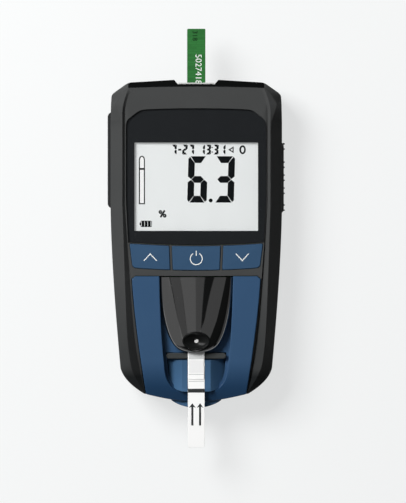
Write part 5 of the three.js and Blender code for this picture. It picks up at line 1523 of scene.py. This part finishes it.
def battery(i):
    """A cell: its sleeve, with the button at the end that its neighbour's spring doesn't press."""
    low, high = corners(f"battery_{i}")
    radius, length = (high[0] - low[0]) / 2, high[1] - low[1]
    way, base = (-1, high[1]) if i % 2 else (1, low[1])
    centre = np.array([(low[0] + high[0]) / 2, base, (low[2] + high[2]) / 2])
    sleeve = [(0, 0.25), (radius - 0.9, 0.25), (radius - 0.75, 0.02), (radius - 0.35, 0.02), (radius, 0.4),
              (radius, length - 1.3), (radius - 0.4, length - 0.85), (radius - 0.9, length - 0.82),
              (radius - 1.05, length - 0.98), (0, length - 0.98)]
    button = [(0, length - 1.2), (radius - 1.2, length - 1.2), (radius - 1.2, length - 0.9),
              (1.95, length - 0.86), (1.9, length - 0.2), (1.7, length), (0, length)]
    skins = []
    for profile, sides in ((sleeve, 40), (button, 32)):
        points, faces = turned(profile, sides=sides, axis=1)
        skins.append((points * [1, way, 1] + centre, faces))
    piece(f"cell_{i}", skins[:1], cell_wrap, stands_for=[f"battery_{i}"])
    piece(f"cell_tip_{i}", skins[1:], steel)


def coil(x, z, wall_y, inward, reach, turns=5):
    """A cone-shaped battery spring: a wire along a helix whose radius falls towards the cell."""
    share = np.linspace(0, 1, 120)
    radius = lerp(3.1, 1.7, share)
    angle = share * turns * 2 * np.pi
    return tube(np.column_stack([x + radius * np.cos(angle), wall_y + inward * (0.55 + (reach - 0.9) * share),
                                 z + radius * np.sin(angle)]), 0.24, 7)


def contact_piece(name, node, at_top, coil_cell, bump_cell):
    """A pressed sheet in the end of the bay, with a spring for one cell and a bump for another."""
    low, high = corners(node)
    wall_y, inward = (high[1], -1) if at_top else (low[1], 1)
    y0, y1 = sorted((wall_y, wall_y + inward * 0.4))
    sheet = [block(low[0], high[0], y0, y1, low[2], high[2])]
    if bump_cell:
        x, _, z = middle_of(bump_cell)
        bump = turned([(0, 0), (2.9, 0), (2.7, 0.35), (2.2, 0.75), (1.3, 1.0), (0, 1.1)], sides=28, axis=1)
        sheet.append((bump[0] * [1, inward, 1] + [x, wall_y + inward * 0.2, z], bump[1]))
    if coil_cell:
        x, _, z = middle_of(coil_cell)
        sheet.append(coil(x, z, wall_y, inward, 4.3))
    piece(name, sheet, spring_steel, stands_for=[node])


for i in range(1, 5):
    battery(i)
contact_piece("link_1", "contact_link_1", True, "battery_1", "battery_2")
contact_piece("link_2", "contact_link_2", True, "battery_3", "battery_4")
contact_piece("link_3", "contact_link_3", False, "battery_2", "battery_3")
contact_piece("plus_contact", "positive_contact", False, None, "battery_1")
contact_piece("minus_contact", "negative_contact", False, "battery_4", None)


# Finishes of the CAD nodes that stay
KEPT = {film: ["display_glass"], guide_white: ["light_guide", "lamp_bar"],
        silicone: ["zebra_strip", "key_mat"], bar_grey: ["mat_frame", "optics_block"],
        rear_charcoal: ["chip_socket"], board_green: ["main_board"], gold: ["contact_comb"],
        package_black: ["processor", "beeper", "chip_memory"],
        lens_clear: ["reading_lens_1", "reading_lens_2"],
        steel: [f"board_screw_{i}" for i in range(1, 5)] + [f"switch_dome_{i}" for i in range(1, 4)]}
for finish, nodes in KEPT.items():
    for node in nodes:
        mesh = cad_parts[node].data
        mesh.materials.clear()
        mesh.materials.append(finish)


# Floor and room
FLOOR_REACH = 4000
BACKDROP = (246, 247, 247)

floor_finish = Finish("pale_floor", Roughness=0.9, Specular_IOR_Level=0.0, Emission_Strength=1.0)
directly = floor_finish.seen_directly()
speckle = floor_finish.mixed(floor_finish.noise(700, 3) * 0.5, (131, 132, 132), (135, 136, 136))
floor_finish.set(**{"Base Color": floor_finish.mixed(directly, (84, 84, 84), speckle),
                    "Emission Color": floor_finish.mixed(directly, (0, 0, 0), (215, 216, 216))})
sheet = at_height(rectangle(FLOOR_REACH, -FLOOR_REACH, FLOOR_REACH), 0)
floor = bpy.data.objects.new("floor", mesh_of("floor", [(sheet, [[0, 1, 2, 3]])]))
bpy.context.scene.collection.objects.link(floor)
floor.data.materials.append(floor_finish.material)

world = bpy.data.worlds.new("pale_room")
bpy.context.scene.world = world
world.use_nodes = True
room = Shading(world.node_tree)
direction = room.node("ShaderNodeTexCoord", output="Generated")
rise = room.node("ShaderNodeSeparateXYZ", inputs={0: direction}, output=2)
horizon = room.mixed(rise.blend(0.1, 0.24), BACKDROP, (22, 22, 22))
room_light = room.mixed(room.seen_directly(), (51, 52, 52), horizon)
camera_ray = room.node("ShaderNodeLightPath", output="Is Camera Ray")
room.feed(world.node_tree.nodes["Background"].inputs["Color"], room.mixed(camera_ray, room_light, BACKDROP))


# Light and camera

def lamp(name, place, size, radiance):
    """A lamp whose size is in metres, across and upwards, and whose face looks as bright as radiance says,
    where 1 looks white. The camera doesn't see it."""
    light = bpy.data.lights.new(name, "AREA")
    light.shape, light.size, light.size_y = "RECTANGLE", *size
    light.energy = radiance * np.pi * size[0] * size[1]
    stand = bpy.data.objects.new(name, light)
    bpy.context.scene.collection.objects.link(stand)
    stand.location = place
    stand.visible_camera = False
    return stand


def soft_light(name, place, size, radiance):
    """A lamp that faces the meter's middle."""
    stand = lamp(name, place, size, radiance)
    stand.rotation_mode = "QUATERNION"
    stand.rotation_quaternion = (Vector(place) - Vector((0, 0, 0.02))).to_track_quat("Z", "Y")


def overhead(name, place, size, radiance, turn=0.0):
    """A flat lamp above the meter, turned about the vertical."""
    lamp(name, place, size, radiance).rotation_euler = (0, 0, np.radians(turn))


soft_light("key_softbox", (-0.58, 0.52, 0.86), (0.55, 0.55), 18.0)
soft_light("left_panel", (-0.93, -0.12, 0.65), (1.7, 1.25), 0.3)
overhead("left_filler", (-0.37, -0.2, 1.0), (0.24, 1.0), 0.18)
overhead("top_panel", (-0.1275, -0.05, 1.0), (0.235, 0.7), 0.3)
overhead("top_filler", (-0.1275, -0.66, 1.0), (0.235, 0.5), 0.18)
overhead("middle_panel", (0.054, -0.35, 1.0), (0.128, 1.3), 0.18)
overhead("right_panel", (0.335, -0.224, 0.98), (0.4, 1.35), 0.18, -20.0)
soft_light("right_rim", (0.94, -0.1, 0.36), (1.3, 0.34), 0.15)
soft_light("front_rim", (0.0, -0.94, 0.4), (1.5, 0.4), 0.22)

camera_data = bpy.data.cameras.new("camera")
camera = bpy.data.objects.new("camera", camera_data)
bpy.context.scene.collection.objects.link(camera)
bpy.context.scene.camera = camera
DISTANCE, SEEN_HEIGHT, FACE_HEIGHT = 3.0, 0.2314, 0.022
camera_data.lens = camera_data.sensor_width * DISTANCE / SEEN_HEIGHT
camera_data.clip_start, camera_data.clip_end = 0.1, 20
camera.location = (0.0031, -0.0062, FACE_HEIGHT + DISTANCE)
bpy.context.scene.view_settings.view_transform = "Standard"
